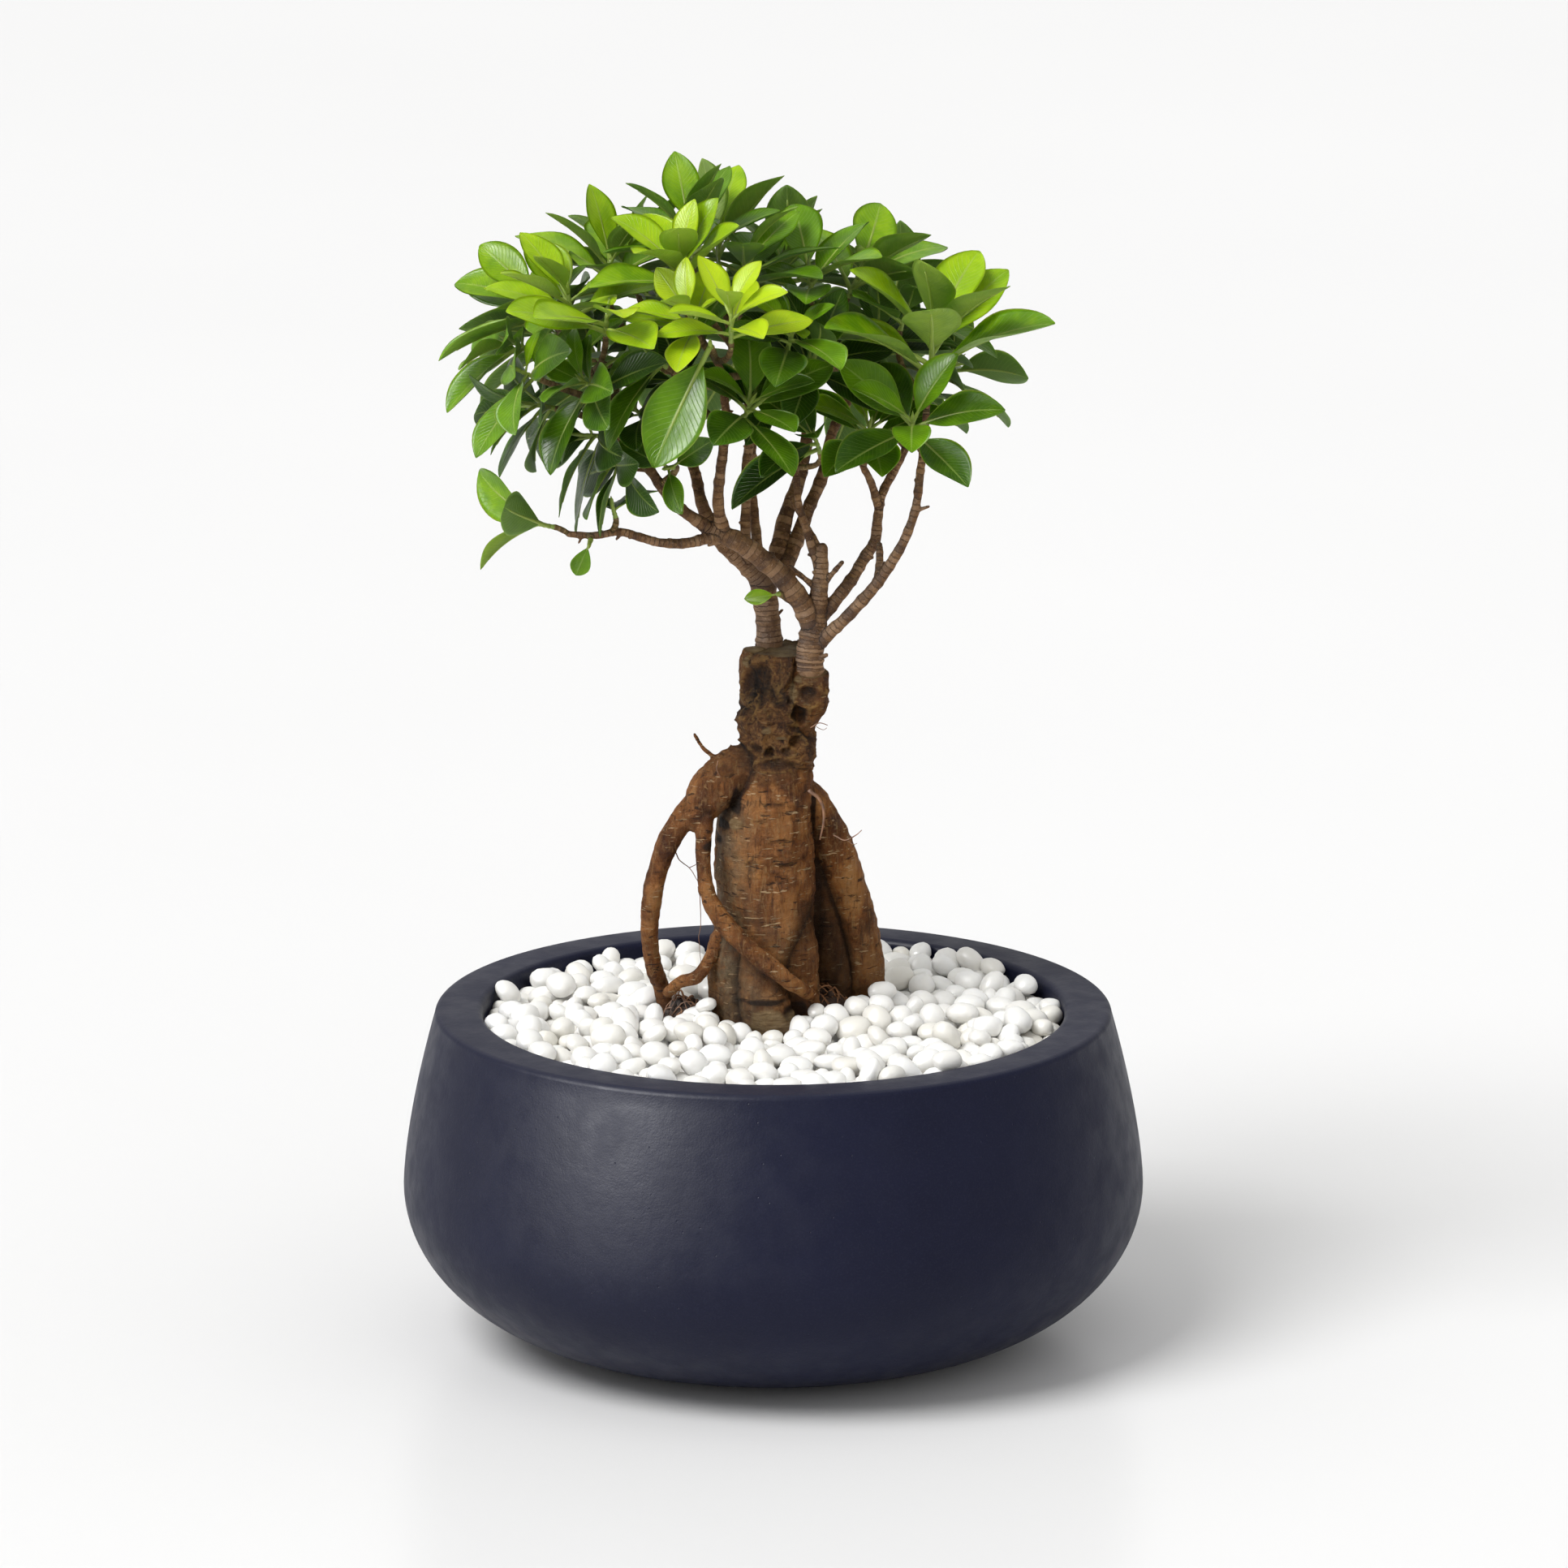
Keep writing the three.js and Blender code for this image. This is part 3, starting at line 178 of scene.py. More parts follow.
# The leafy shoots: base, direction, stem length, number of leaves, leaf length, turn of the first leaf in degrees,
# how far the lowest leaves open from the stem in degrees, and ripeness from 0, new, to 1, old.
SHOOTS = {
    "front_big_leaf": ((-22, -59, 383), (-0.1, -0.9, 0.45), 5, 1, 42, 243, 97, 0.62),
    "centre_new": ((-15, -56, 384), (0, -0.3, 1), 14, 9, 26, 20, 60, 0.02),
    "centre_new_left": ((-27, -48, 385), (-0.35, -0.3, 1), 10, 8, 25, 150, 60, 0.1),
    "crown_front": ((-33, -26, 398), (-0.05, -0.35, 1), 10, 8, 31, 200, 50, 0.2),
    "apex": ((-29, -3, 401), (-0.1, 0, 1), 15, 9, 34, 83, 48, 0.5),
    "crown_left": ((-60, 6, 393), (0.1, 0, 1), 10, 8, 35, 10, 50, 0.35),
    "top_left": ((-72, -20, 383), (-0.15, -0.15, 1), 13, 9, 33, 250, 50, 0.22),
    "left_tip": ((-80, -2, 381), (-0.6, -0.1, 0.9), 10, 8, 38, 206, 50, 0.4),
    "left_upper": ((-88, -8, 372), (-1, -0.2, 0.5), 8, 8, 31, 36, 55, 0.45),
    "left_front": ((-84, -32, 366), (-0.9, -0.5, 0.5), 9, 8, 32, 100, 55, 0.5),
    "left_lower": ((-79, -20, 353), (-1, -0.3, 0.25), 8, 8, 31, 60, 60, 0.8),
    "lime_left": ((-60, -42, 384), (0.05, -0.4, 1), 10, 9, 37, 176, 50, 0.15),
    "crown_right": ((-11, -12, 394), (0.05, -0.1, 1), 13, 9, 34, 300, 50, 0.5),
    "top_right": ((14, -8, 391), (-0.1, -0.05, 1), 11, 8, 33, 130, 50, 0.45),
    "high_right": ((27, 8, 388), (0.45, 0.1, 1), 11, 8, 39, 350, 45, 0.4),
    "right_rosette": ((56, -20, 362), (0.12, -0.1, 1), 20, 9, 43, 210, 36, 0.34),
    "right_collar": ((51, -25, 344), (-0.1, -0.6, 0.8), 8, 8, 33, 304, 60, 0.6),
    "right_front": ((34, -6, 336), (0.1, -0.45, 1), 9, 8, 31, 240, 55, 0.5),
    "centre_low_right": ((17, -22, 337), (-0.2, -0.5, 0.7), 8, 8, 32, 44, 60, 0.75),
    "centre_fan": ((-11, -38, 352), (0.35, -0.5, 0.9), 9, 9, 33, 330, 60, 0.6),
    "left_middle": ((-62, -42, 363), (-0.7, -0.5, 0.6), 9, 9, 32, 20, 60, 0.65),
    "left_middle_high": ((-68, -40, 374), (-0.5, -0.35, 0.9), 8, 8, 29, 280, 55, 0.5),
    "centre_left": ((-38, -50, 374), (-0.7, -0.4, 0.6), 8, 8, 30, 120, 60, 0.6),
    "droop_left": ((-60, -26, 344), (-1, -0.25, 0.1), 9, 8, 35, 75, 62, 0.85),
    "droop_low": ((-52, -26, 335), (-0.9, -0.35, -0.15), 8, 8, 31, 15, 62, 0.75),
    "low_tip": ((-79, -29, 311), (-1, -0.05, 0.2), 7, 3, 33, 200, 30, 0.5),
    "low_sprig": ((-57, -29, 314.5), (-0.25, -0.2, 1), 5, 5, 17, 90, 70, 0.6),
    "low_single": ((-66, -32, 307), (-0.15, -0.9, -0.3), 3, 1, 14, 250, 85, 0.5),
    "stem_leaf": ((2, -14.5, 283), (-0.2, -0.9, 0.2), 2, 1, 11, 188, 85, 0.4),
    "under_left": ((-36, -33, 334), (-0.4, -0.8, 0.1), 6, 4, 20, 30, 60, 0.65),
    "centre_dark": ((12, -14, 363), (0.3, -0.5, 0.9), 9, 9, 32, 190, 58, 0.85),
    "centre_deep": ((-1, -14, 349), (0.1, -0.6, 0.8), 8, 8, 31, 70, 58, 0.9),
    "centre_high": ((5, -34, 377), (0.25, -0.4, 0.9), 10, 9, 32, 260, 55, 0.5),
    "right_middle": ((36, 4, 366), (0.2, -0.1, 1), 10, 9, 32, 16, 58, 0.8),
    "right_high": ((46, -2, 378), (0.3, -0.1, 1), 11, 9, 33, 60, 52, 0.5),
    "crown_middle": ((2, 16, 390), (0.1, 0.15, 1), 11, 9, 33, 220, 52, 0.5),
    "rear_right": ((60, 22, 354), (0.7, 0.5, 0.7), 10, 9, 35, 140, 58, 0.7),
    "rear_right_high": ((40, 36, 372), (0.4, 0.5, 0.8), 11, 9, 34, 220, 58, 0.55),
    "rear_middle": ((6, 44, 382), (0, 0.5, 0.9), 11, 10, 34, 300, 58, 0.55),
    "rear_crown": ((-20, 28, 396), (-0.05, 0.3, 1), 11, 10, 34, 35, 56, 0.4),
    "rear_left_high": ((-50, 34, 386), (-0.3, 0.5, 0.9), 11, 10, 34, 165, 58, 0.5),
    "rear_left": ((-74, 24, 367), (-0.8, 0.5, 0.55), 10, 9, 34, 265, 58, 0.6),
    "rear_low_left": ((-50, 44, 356), (-0.5, 0.9, 0.35), 10, 9, 34, 55, 60, 0.8),
    "rear_low_middle": ((-12, 54, 356), (-0.1, 1, 0.35), 10, 9, 34, 10, 60, 0.85),
    "rear_low_right": ((30, 52, 350), (0.5, 0.9, 0.35), 10, 9, 34, 104, 60, 0.85),
    "rear_inner": ((-30, 34, 370), (-0.1, 0.4, 0.9), 9, 9, 33, 100, 60, 0.8),
    "inner_crown": ((-42, 8, 382), (0, 0.05, 1), 9, 8, 32, 75, 55, 0.7),
    "inner_right": ((22, 20, 368), (0.2, 0.15, 1), 9, 8, 32, 155, 58, 0.8),
    "inner_left": ((-60, 2, 362), (-0.6, 0.1, 0.8), 9, 8, 31, 205, 58, 0.85),
    "inner_low": ((-30, -14, 358), (-0.3, -0.4, 0.8), 8, 8, 31, 140, 60, 0.9),
    "left_gap": ((-46, -34, 352), (-0.5, -0.6, 0.6), 8, 8, 31, 250, 60, 0.8),
    "right_low_rear": ((44, 16, 342), (0.4, 0.2, 0.9), 8, 8, 30, 330, 60, 0.8),
}


# How leaves are set on a shoot. Angles are in degrees, and the scatters are the whole range of a random part.
SETTING = {
    "spiral": 137.5, "tip_open": 14, "open_fade": 0.7, "open_scatter": 16, "lowest_foot": 0.1, "tip_shrink": 0.3,
    "least_length": 0.9, "length_scatter": 0.2, "bend": 12, "bend_scatter": 26, "bend_ripe": 12, "cup": 0.12,
    "cup_scatter": 0.3, "twist_scatter": 36,
}


def chance(a, b):
    """A number from 0 to 1 that depends only on two whole numbers, so that the tree grows the same every time."""
    s = math.sin(a * 12.9898 + b * 78.233) * 43758.5453
    return s - math.floor(s)


def unit(vector):
    return vector / np.linalg.norm(vector)


def wobble(points, size, seed=0):
    """Smooth noise from -1 to 1 at each point, whose bumps are about a size across."""
    scaled = np.asarray(points, float) / size + seed * 17.3
    corner = np.floor(scaled)
    share = scaled - corner
    share = share * share * (3 - 2 * share)
    total = np.zeros(len(scaled))
    for step in np.ndindex(2, 2, 2):
        at = corner + step
        hashed = np.sin(at @ (127.1, 311.7, 74.7)) * 43758.5453
        weight = np.prod(np.where(np.array(step) == 1, share, 1 - share), axis=1)
        total += weight * (hashed - np.floor(hashed))
    return 2 * total - 1


# ------------------------------------------------------------------------------------------------ limbs and tubes


def spine(limb, steps):
    """Points and radii along a limb: a Catmull-Rom curve through its table with the radii between."""
    table = np.array(limb, float)
    inner = table[:, :3]
    padded = np.vstack([2 * inner[0] - inner[1], inner, 2 * inner[-1] - inner[-2]])
    points, radii = [], []
    for k in range(len(limb) - 1):
        p0, p1, p2, p3 = padded[k : k + 4]
        t0, t1 = 0.5 * (p2 - p0), 0.5 * (p3 - p1)
        for i in range(steps):
            t = i / steps
            square, cube = -3 * p1 + 3 * p2 - 2 * t0 - t1, 2 * p1 - 2 * p2 + t0 + t1
            points.append(p1 + t0 * t + square * t**2 + cube * t**3)
            radii.append(table[k, 3] + (table[k + 1, 3] - table[k, 3]) * t)
    points.append(inner[-1])
    radii.append(table[-1, 3])
    return np.array(points), np.array(radii)


def rounded_ends(points, radii, start=True, end=True, steps=4):
    """The same tube with domed ends: each dome's rings shrink along a quarter circle past the end."""
    points, radii = list(points), list(radii)
    turns = [math.pi / 2 * k / steps for k in range(1, steps + 1)]
    if start:
        out = unit(points[0] - points[1])
        dome = [(points[0] + out * radii[0] * math.sin(a), radii[0] * max(math.cos(a), 0.04)) for a in turns]
        points = [p for p, _ in reversed(dome)] + points
        radii = [r for _, r in reversed(dome)] + radii
    if end:
        out = unit(points[-1] - points[-2])
        dome = [(points[-1] + out * radii[-1] * math.sin(a), radii[-1] * max(math.cos(a), 0.04)) for a in turns]
        points = points + [p for p, _ in dome]
        radii = radii + [r for _, r in dome]
    return np.array(points), np.array(radii)


def tube(points, radii, sides):
    """Vertices and faces of a closed tube through points, each with its own radius."""
    points, radii = np.asarray(points, float), np.asarray(radii, float)
    along = np.gradient(points, axis=0)
    along /= np.linalg.norm(along, axis=1)[:, None]
    across = np.array([1.0, 0, 0]) if abs(along[0][0]) < 0.8 else np.array([0, 1.0, 0])
    turns = np.arange(sides) * 2 * math.pi / sides
    rings = []
    for point, radius, ahead in zip(points, radii, along):
        across = unit(across - ahead * across.dot(ahead))
        other = np.cross(ahead, across)
        rings.append(point + radius * (np.cos(turns)[:, None] * across + np.sin(turns)[:, None] * other))
    faces = []
    for i in range(len(points) - 1):
        for k in range(sides):
            a, b = i * sides + k, i * sides + (k + 1) % sides
            faces.append((a, b, b + sides, a + sides))
    faces.append(tuple(reversed(range(sides))))
    faces.append(tuple((len(points) - 1) * sides + k for k in range(sides)))
    return np.vstack(rings), faces


def gathered(parts):
    """One list of vertices and faces from several."""
    vertices, faces, base = [], [], 0
    for part_vertices, part_faces in parts:
        vertices.append(np.asarray(part_vertices))
        faces += [tuple(base + k for k in face) for face in part_faces]
        base += len(part_vertices)
    return np.vstack(vertices), faces


def new_piece(name, vertices, faces, material, smooth=True):
    """An object from vertices in millimetres and faces, added to the scene."""
    mesh = bpy.data.meshes.new(name)
    mesh.from_pydata((np.asarray(vertices) * MM).tolist(), [], faces)
    mesh.polygons.foreach_set("use_smooth", [smooth] * len(mesh.polygons))
    mesh.materials.append(material)
    mesh.validate()
    piece = bpy.data.objects.new(name, mesh)
    bpy.context.collection.objects.link(piece)
    return piece


def vertices_of(mesh):
    flat = np.empty(len(mesh.vertices) * 3)
    mesh.vertices.foreach_get("co", flat)
    return flat.reshape(-1, 3) / MM


def normals_of(mesh):
    flat = np.empty(len(mesh.vertices) * 3)
    mesh.vertex_normals.foreach_get("vector", flat)
    return flat.reshape(-1, 3)


def move_vertices(mesh, vertices):
    mesh.vertices.foreach_set("co", (vertices * MM).ravel())
    mesh.update()


def add_values(mesh, name, values):
    """A number on each vertex for the material to read."""
    mesh.attributes.new(name, "FLOAT", "POINT").data.foreach_set("value", np.asarray(values, np.float32))


def add_vectors(mesh, name, vectors):
    """Three numbers on each vertex for the material to read."""
    data = mesh.attributes.new(name, "FLOAT_VECTOR", "POINT").data
    data.foreach_set("vector", np.asarray(vectors, np.float32).ravel())


def fused(name, parts, voxel, smoothing, material):
    """One skin over overlapping closed tubes, with their joins rounded off."""
    vertices, faces = gathered(parts)
    rough = new_piece(name + "_tubes", vertices, faces, material)
    remesh = rough.modifiers.new("Fuse", "REMESH")
    remesh.mode = "VOXEL"
    remesh.voxel_size = voxel * MM
    soften = rough.modifiers.new("Soften", "SMOOTH")
    soften.factor = 0.5
    soften.iterations = smoothing
    evaluated = rough.evaluated_get(bpy.context.evaluated_depsgraph_get())
    mesh = bpy.data.meshes.new_from_object(evaluated)
    mesh.name = name
    old = rough.data
    bpy.data.objects.remove(rough)
    bpy.data.meshes.remove(old)
    mesh.polygons.foreach_set("use_smooth", [True] * len(mesh.polygons))
    piece = bpy.data.objects.new(name, mesh)
    bpy.context.collection.objects.link(piece)
    return piece


class Nearest:
    """Finds the limb that a point lies on: the spine point that is nearest for its radius."""

    def __init__(self, limbs, steps=6):
        self.points, self.radii, self.limb, self.along, self.ahead = [], [], [], [], []
        for number, limb in enumerate(limbs):
            points, radii = spine(limb, steps)
            length = np.concatenate([[0], np.cumsum(np.linalg.norm(np.diff(points, axis=0), axis=1))])
            self.points.append(points)
            self.radii.append(radii)
            self.limb.append(np.full(len(points), number))
            self.along.append(length)
            self.ahead.append(np.gradient(points, axis=0))
        self.points, self.ahead = np.vstack(self.points), np.vstack(self.ahead)
        self.ahead /= np.linalg.norm(self.ahead, axis=1)[:, None]
        self.radii, self.limb = np.concatenate(self.radii), np.concatenate(self.limb)
        self.along = np.concatenate(self.along)

    def at(self, vertices):
        """For each vertex, the index of its spine point and how deep it sits between two limbs, from 0 to 1."""
        best = np.empty(len(vertices), int)
        crease = np.empty(len(vertices))
        for start in range(0, len(vertices), 4000):
            part = vertices[start : start + 4000]
            reach = np.linalg.norm(part[:, None] - self.points[None], axis=2) / self.radii
            nearest = reach.argmin(axis=1)
            closest = reach[np.arange(len(part)), nearest]
            others = np.where(self.limb[None] == self.limb[nearest][:, None], 9.0, reach).min(axis=1)
            best[start : start + 4000] = nearest
            crease[start : start + 4000] = np.clip(1 - (others - closest) * 3.5, 0, 1)
        return best, crease


# ------------------------------------------------------------------------------------------------ materials


class Surface:
    """A procedural material being wired up around one Principled shader."""

    def __init__(self, name):
        self.material = bpy.data.materials.new(name)
        self.material.use_nodes = True
        self.tree = self.material.node_tree
        self.tree.nodes.clear()
        self.shader = self.node("ShaderNodeBsdfPrincipled")
        self.node("ShaderNodeOutputMaterial", {"Surface": self.shader.outputs[0]})
        coordinates = self.node("ShaderNodeTexCoord").outputs["Object"]
        self.place = self.scaled(coordinates, (1000, 1000, 1000))  # in millimetres

    def node(self, kind, inputs=None, **settings):
        made = self.tree.nodes.new(kind)
        for key, value in settings.items():
            setattr(made, key, value)
        for key, value in (inputs or {}).items():
            self.put(made.inputs[key], value)
        return made

    def put(self, socket, value):
        if isinstance(value, bpy.types.NodeSocket):
            self.tree.links.new(value, socket)
        else:
            socket.default_value = value

    def set(self, **values):
        """Sets the shader's own sockets, such as Base_Color or Roughness."""
        for key, value in values.items():
            if key.endswith("Color") and not isinstance(value, bpy.types.NodeSocket):
                value = (*value, 1)
            self.put(self.shader.inputs[key.replace("_", " ")], value)

    def scaled(self, vector, scale):
        return self.node("ShaderNodeMapping", {"Vector": vector, "Scale": scale}).outputs[0]

    def noise(self, size, detail=4.0, roughness=0.55, stretch=(1, 1, 1), warp=0.0):
        """Noise from 0 to 1 with bumps about a size, in millimetres, and stretched by a factor on each axis."""
        vector = self.scaled(self.place, tuple(1 / s for s in stretch))
        inputs = {"Vector": vector, "Scale": 1 / size, "Detail": detail, "Roughness": roughness, "Distortion": warp}
        return self.node("ShaderNodeTexNoise", inputs).outputs[0]

    def cells(self, size, feature="F1", stretch=(1, 1, 1)):
        vector = self.scaled(self.place, tuple(1 / s for s in stretch))
        kind = self.node("ShaderNodeTexVoronoi", {"Vector": vector, "Scale": 1 / size}, feature=feature)
        return kind.outputs["Distance"]

    def math(self, operation, a, b=0.0):
        return self.node("ShaderNodeMath", {0: a, 1: b}, operation=operation).outputs[0]

    def between(self, value, low, high, start=0.0, end=1.0):
        """A smooth step from start to end as a value goes from low to high."""
        inputs = {"Value": value, "From Min": low, "From Max": high, "To Min": start, "To Max": end}
        return self.node("ShaderNodeMapRange", inputs, interpolation_type="SMOOTHSTEP").outputs[0]

    def mix(self, share, a, b):
        made = self.node("ShaderNodeMix", data_type="RGBA")
        self.put(made.inputs[0], share)
        self.put(made.inputs[6], a if isinstance(a, bpy.types.NodeSocket) else (*a, 1))
        self.put(made.inputs[7], b if isinstance(b, bpy.types.NodeSocket) else (*b, 1))
        return made.outputs[2]

    def ramp(self, value, *stops):
        made = self.node("ShaderNodeValToRGB", {"Fac": value})
        elements = made.color_ramp.elements
        while len(elements) < len(stops):
            elements.new(0.5)
        for element, (position, colour) in zip(elements, stops):
            element.position = position
            element.color = (*colour, 1)
        return made.outputs[0]

    def value(self, name):
        return self.node("ShaderNodeAttribute", attribute_name=name).outputs["Fac"]

    def parts(self, name):
        vector = self.node("ShaderNodeAttribute", attribute_name=name).outputs["Vector"]
        return self.node("ShaderNodeSeparateXYZ", {0: vector}).outputs

    def bump(self, height, depth, below=None):
        """A bump whose full height is a depth in millimetres, laid over another bump if there is one."""
        inputs = {"Height": height, "Distance": depth * MM, "Strength": 1.0}
        made = self.node("ShaderNodeBump", inputs)
        if below is not None:
            self.put(made.inputs["Normal"], below)
        return made.outputs[0]


def glazed_clay():
    """Navy matte glaze with a fine grain, a few pits, and a painted sheen on the rim's top, mixed in as a paler
    grey-blue.
    """
    s = Surface("navy_glaze")
    height = s.node("ShaderNodeSeparateXYZ", {0: s.place}).outputs["Z"]
    cloud = s.noise(40, 5, 0.6)
    grain = s.noise(0.7, 2)
    colour = s.ramp(cloud, (0.3, (0.0036, 0.0048, 0.0195)), (0.7, (0.0054, 0.0070, 0.0250)))
    colour = s.mix(s.between(grain, 0.45, 0.75, 0, 0.3), colour, (0.014, 0.016, 0.036))
    up = s.node("ShaderNodeSeparateXYZ", {0: s.node("ShaderNodeNewGeometry").outputs["Normal"]}).outputs["Z"]
    # Painted sheen: the up-facing top of the rim, from 118 to 122 mm high, is mixed towards a paler grey-blue.
    rim_top_sheen = s.math("MULTIPLY", s.between(up, 0.6, 0.95), s.between(height, 118, 122))
    colour = s.mix(s.math("MULTIPLY", rim_top_sheen, 0.4), colour, (0.040, 0.041, 0.060))
    pits = s.between(s.cells(5.5), 0.035, 0.08)
    fine = s.bump(grain, 0.05)
    broad = s.bump(s.noise(6, 3), 0.16, fine)
    s.set(
        Base_Color=colour,
        Roughness=s.between(s.noise(12, 4), 0.3, 0.7, 0.42, 0.54),
        Specular_IOR_Level=0.15,
        Normal=s.bump(pits, 0.12, broad),
    )
    return s.material


def pebble_stone():
    """White tumbled stone: each pebble has its own tone, with faint clouds, a satin polish, and painted shade, a warm
    brown, on the parts that lie deep in the layer.
    """
    s = Surface("white_pebble")
    tone = s.value("tone")
    colour = s.ramp(tone, (0.0, (0.76, 0.74, 0.68)), (0.3, (0.83, 0.82, 0.79)), (1.0, (0.88, 0.88, 0.865)))
    cloud = s.between(s.noise(4, 4), 0.5, 0.8, 0, 0.35)
    colour = s.mix(cloud, colour, (0.76, 0.745, 0.70))
    # Painted shade: the parts of the pebbles that lie deep in the layer, where shade falls between them, are mixed
    # towards a warm brown.
    low = s.value("sunk")
    colour = s.mix(s.math("MULTIPLY", low, 0.55), colour, (0.47, 0.41, 0.30))
    s.set(
        Base_Color=colour,
        Roughness=s.between(s.noise(3, 3), 0.3, 0.7, 0.34, 0.5),
        Normal=s.bump(s.noise(1.6, 4), 0.08),
        Subsurface_Weight=0.25,
        Subsurface_Radius=(1.0, 0.95, 0.85),
        Subsurface_Scale=0.002,
    )
    return s.material


def potting_soil():
    """Dark peat with lighter fibre flecks."""
    s = Surface("peat_soil")
    colour = s.ramp(
        s.noise(1.5, 5, 0.7),
        (0.3, (0.018, 0.009, 0.005)), (0.6, (0.05, 0.024, 0.012)), (0.85, (0.12, 0.06, 0.028)),
    )
    flecks = s.between(s.noise(0.8, 3, stretch=(4, 0.7, 1)), 0.62, 0.72)
    colour = s.mix(s.math("MULTIPLY", flecks, 0.6), colour, (0.22, 0.10, 0.04))
    s.set(Base_Color=colour, Roughness=0.95, Normal=s.bump(s.noise(0.9, 5, 0.7), 0.6))
    return s.material


def root_fibre():
    """Fine roots: rusty brown."""
    s = Surface("root_fibre")
    colour = s.ramp(s.noise(3, 3), (0.3, (0.10, 0.038, 0.014)), (0.7, (0.30, 0.13, 0.045)))
    s.set(Base_Color=colour, Roughness=0.7, Normal=s.bump(s.noise(0.5, 2), 0.05))
    return s.material


def root_bark():
    """Brown fig bark: grey clouds, upright streaks, level lenticels, dark wounds with golden lips, cut wood, and
    painted shade in the creases, the gaps between limbs and the wound hollows.
    """
    s = Surface("rootstock_bark")
    marks = s.parts("marks")
    wound, lip, cut = marks[0], marks[1], marks[2]
    grey, crease, rough = s.value("grey"), s.value("crease"), s.value("rough")
    height = s.node("ShaderNodeSeparateXYZ", {0: s.place}).outputs["Z"]
    colour = s.ramp(
        s.noise(11, 6, 0.62, stretch=(1, 1, 1.8), warp=0.6),
        (0.32, (0.080, 0.022, 0.005)), (0.45, (0.225, 0.078, 0.019)),
        (0.56, (0.410, 0.158, 0.042)), (0.70, (0.600, 0.280, 0.090)),
    )
    streak = s.noise(2.0, 6, 0.72, stretch=(1, 1, 7), warp=1.2)
    colour = s.mix(s.between(streak, 0.52, 0.66, 0, 0.6), colour, (0.47, 0.27, 0.105))
    colour = s.mix(s.between(streak, 0.47, 0.34, 0, 0.8), colour, (0.050, 0.018, 0.006))
    mottle = s.between(s.noise(3.6, 6, 0.78), 0.52, 0.68)
    colour = s.mix(s.math("MULTIPLY", mottle, 0.4), colour, (0.50, 0.30, 0.13))
    patina = s.math("MULTIPLY", grey, s.between(s.noise(6, 5, 0.65), 0.32, 0.58, 0.25, 1))
    pale = s.ramp(
        s.noise(2.2, 6, 0.7, stretch=(1, 1, 2)), (0.3, (0.080, 0.052, 0.026)), (0.7, (0.34, 0.245, 0.135))
    )
    colour = s.mix(patina, colour, pale)
    dashes = s.between(s.noise(1.25, 2, stretch=(4, 4, 0.75)), 0.635, 0.675)
    dashes = s.math("MULTIPLY", dashes, s.between(s.noise(12, 2), 0.40, 0.52))
    colour = s.mix(s.math("MULTIPLY", dashes, 0.9), colour, (0.74, 0.52, 0.28))
    cracks = s.between(s.noise(1.7, 4, stretch=(4, 4, 0.75), warp=0.8), 0.385, 0.335)
    colour = s.mix(s.math("MULTIPLY", cracks, 0.85), colour, (0.028, 0.011, 0.004))
    burrs = s.noise(3.0, 6, 0.78, warp=1.6)
    weathered = s.ramp(
        s.noise(5, 6, 0.7, warp=1),
        (0.38, (0.030, 0.010, 0.003)), (0.50, (0.160, 0.060, 0.016)), (0.64, (0.50, 0.235, 0.070)),
    )
    colour = s.mix(s.math("MULTIPLY", rough, 0.8), colour, weathered)
    burred = s.math("MULTIPLY", rough, s.between(burrs, 0.48, 0.36, 0, 0.9))
    colour = s.mix(burred, colour, (0.026, 0.010, 0.004))
    colour = s.mix(s.math("MULTIPLY", rough, s.between(burrs, 0.53, 0.64, 0, 0.7)), colour, (0.52, 0.29, 0.095))
    # Painted shade, near black, in the creases between limbs, in the recess behind the web and in the dark gaps.
    colour = s.mix(s.math("MULTIPLY", crease, 0.92), colour, (0.012, 0.005, 0.002))
    # The wound hollows: dark wood, and painted shade that grows with each hollow's depth.
    wound_dark_and_shade = s.math("MULTIPLY", wound, s.between(s.noise(2.5, 5, 0.7), 0.3, 0.62, 1, 0.55))
    colour = s.mix(wound_dark_and_shade, colour, (0.011, 0.005, 0.002))
    colour = s.mix(s.math("MULTIPLY", lip, s.between(s.noise(2.2, 5), 0.42, 0.56)), colour, (0.58, 0.32, 0.095))
    rings = s.noise(0.8, 4, stretch=(6, 6, 1))
    wood = s.ramp(rings, (0.3, (0.20, 0.115, 0.045)), (0.7, (0.56, 0.40, 0.19)))
    colour = s.mix(cut, colour, wood)
    # Darker towards the bottom, from 133 mm down to 118 mm high.
    darker_low = s.between(height, 133, 118)
    colour = s.mix(s.math("MULTIPLY", darker_low, 0.5), colour, (0.050, 0.022, 0.010))
    fine = s.bump(s.noise(1.1, 6, 0.8), 1.1)
    lined = s.bump(s.math("SUBTRACT", dashes, cracks), 0.9, fine)
    ribs = s.bump(streak, 2.2, lined)
    folded = s.bump(s.noise(2.6, 5, 0.7, stretch=(2.6, 2.6, 1), warp=1), 2.6, ribs)
    s.set(
        Base_Color=colour,
        Roughness=s.between(s.noise(5, 3), 0.3, 0.7, 0.50, 0.75),
        Specular_IOR_Level=0.13,
        Normal=s.bump(s.math("MULTIPLY", rough, burrs), 4.2, folded),
    )
    return s.material


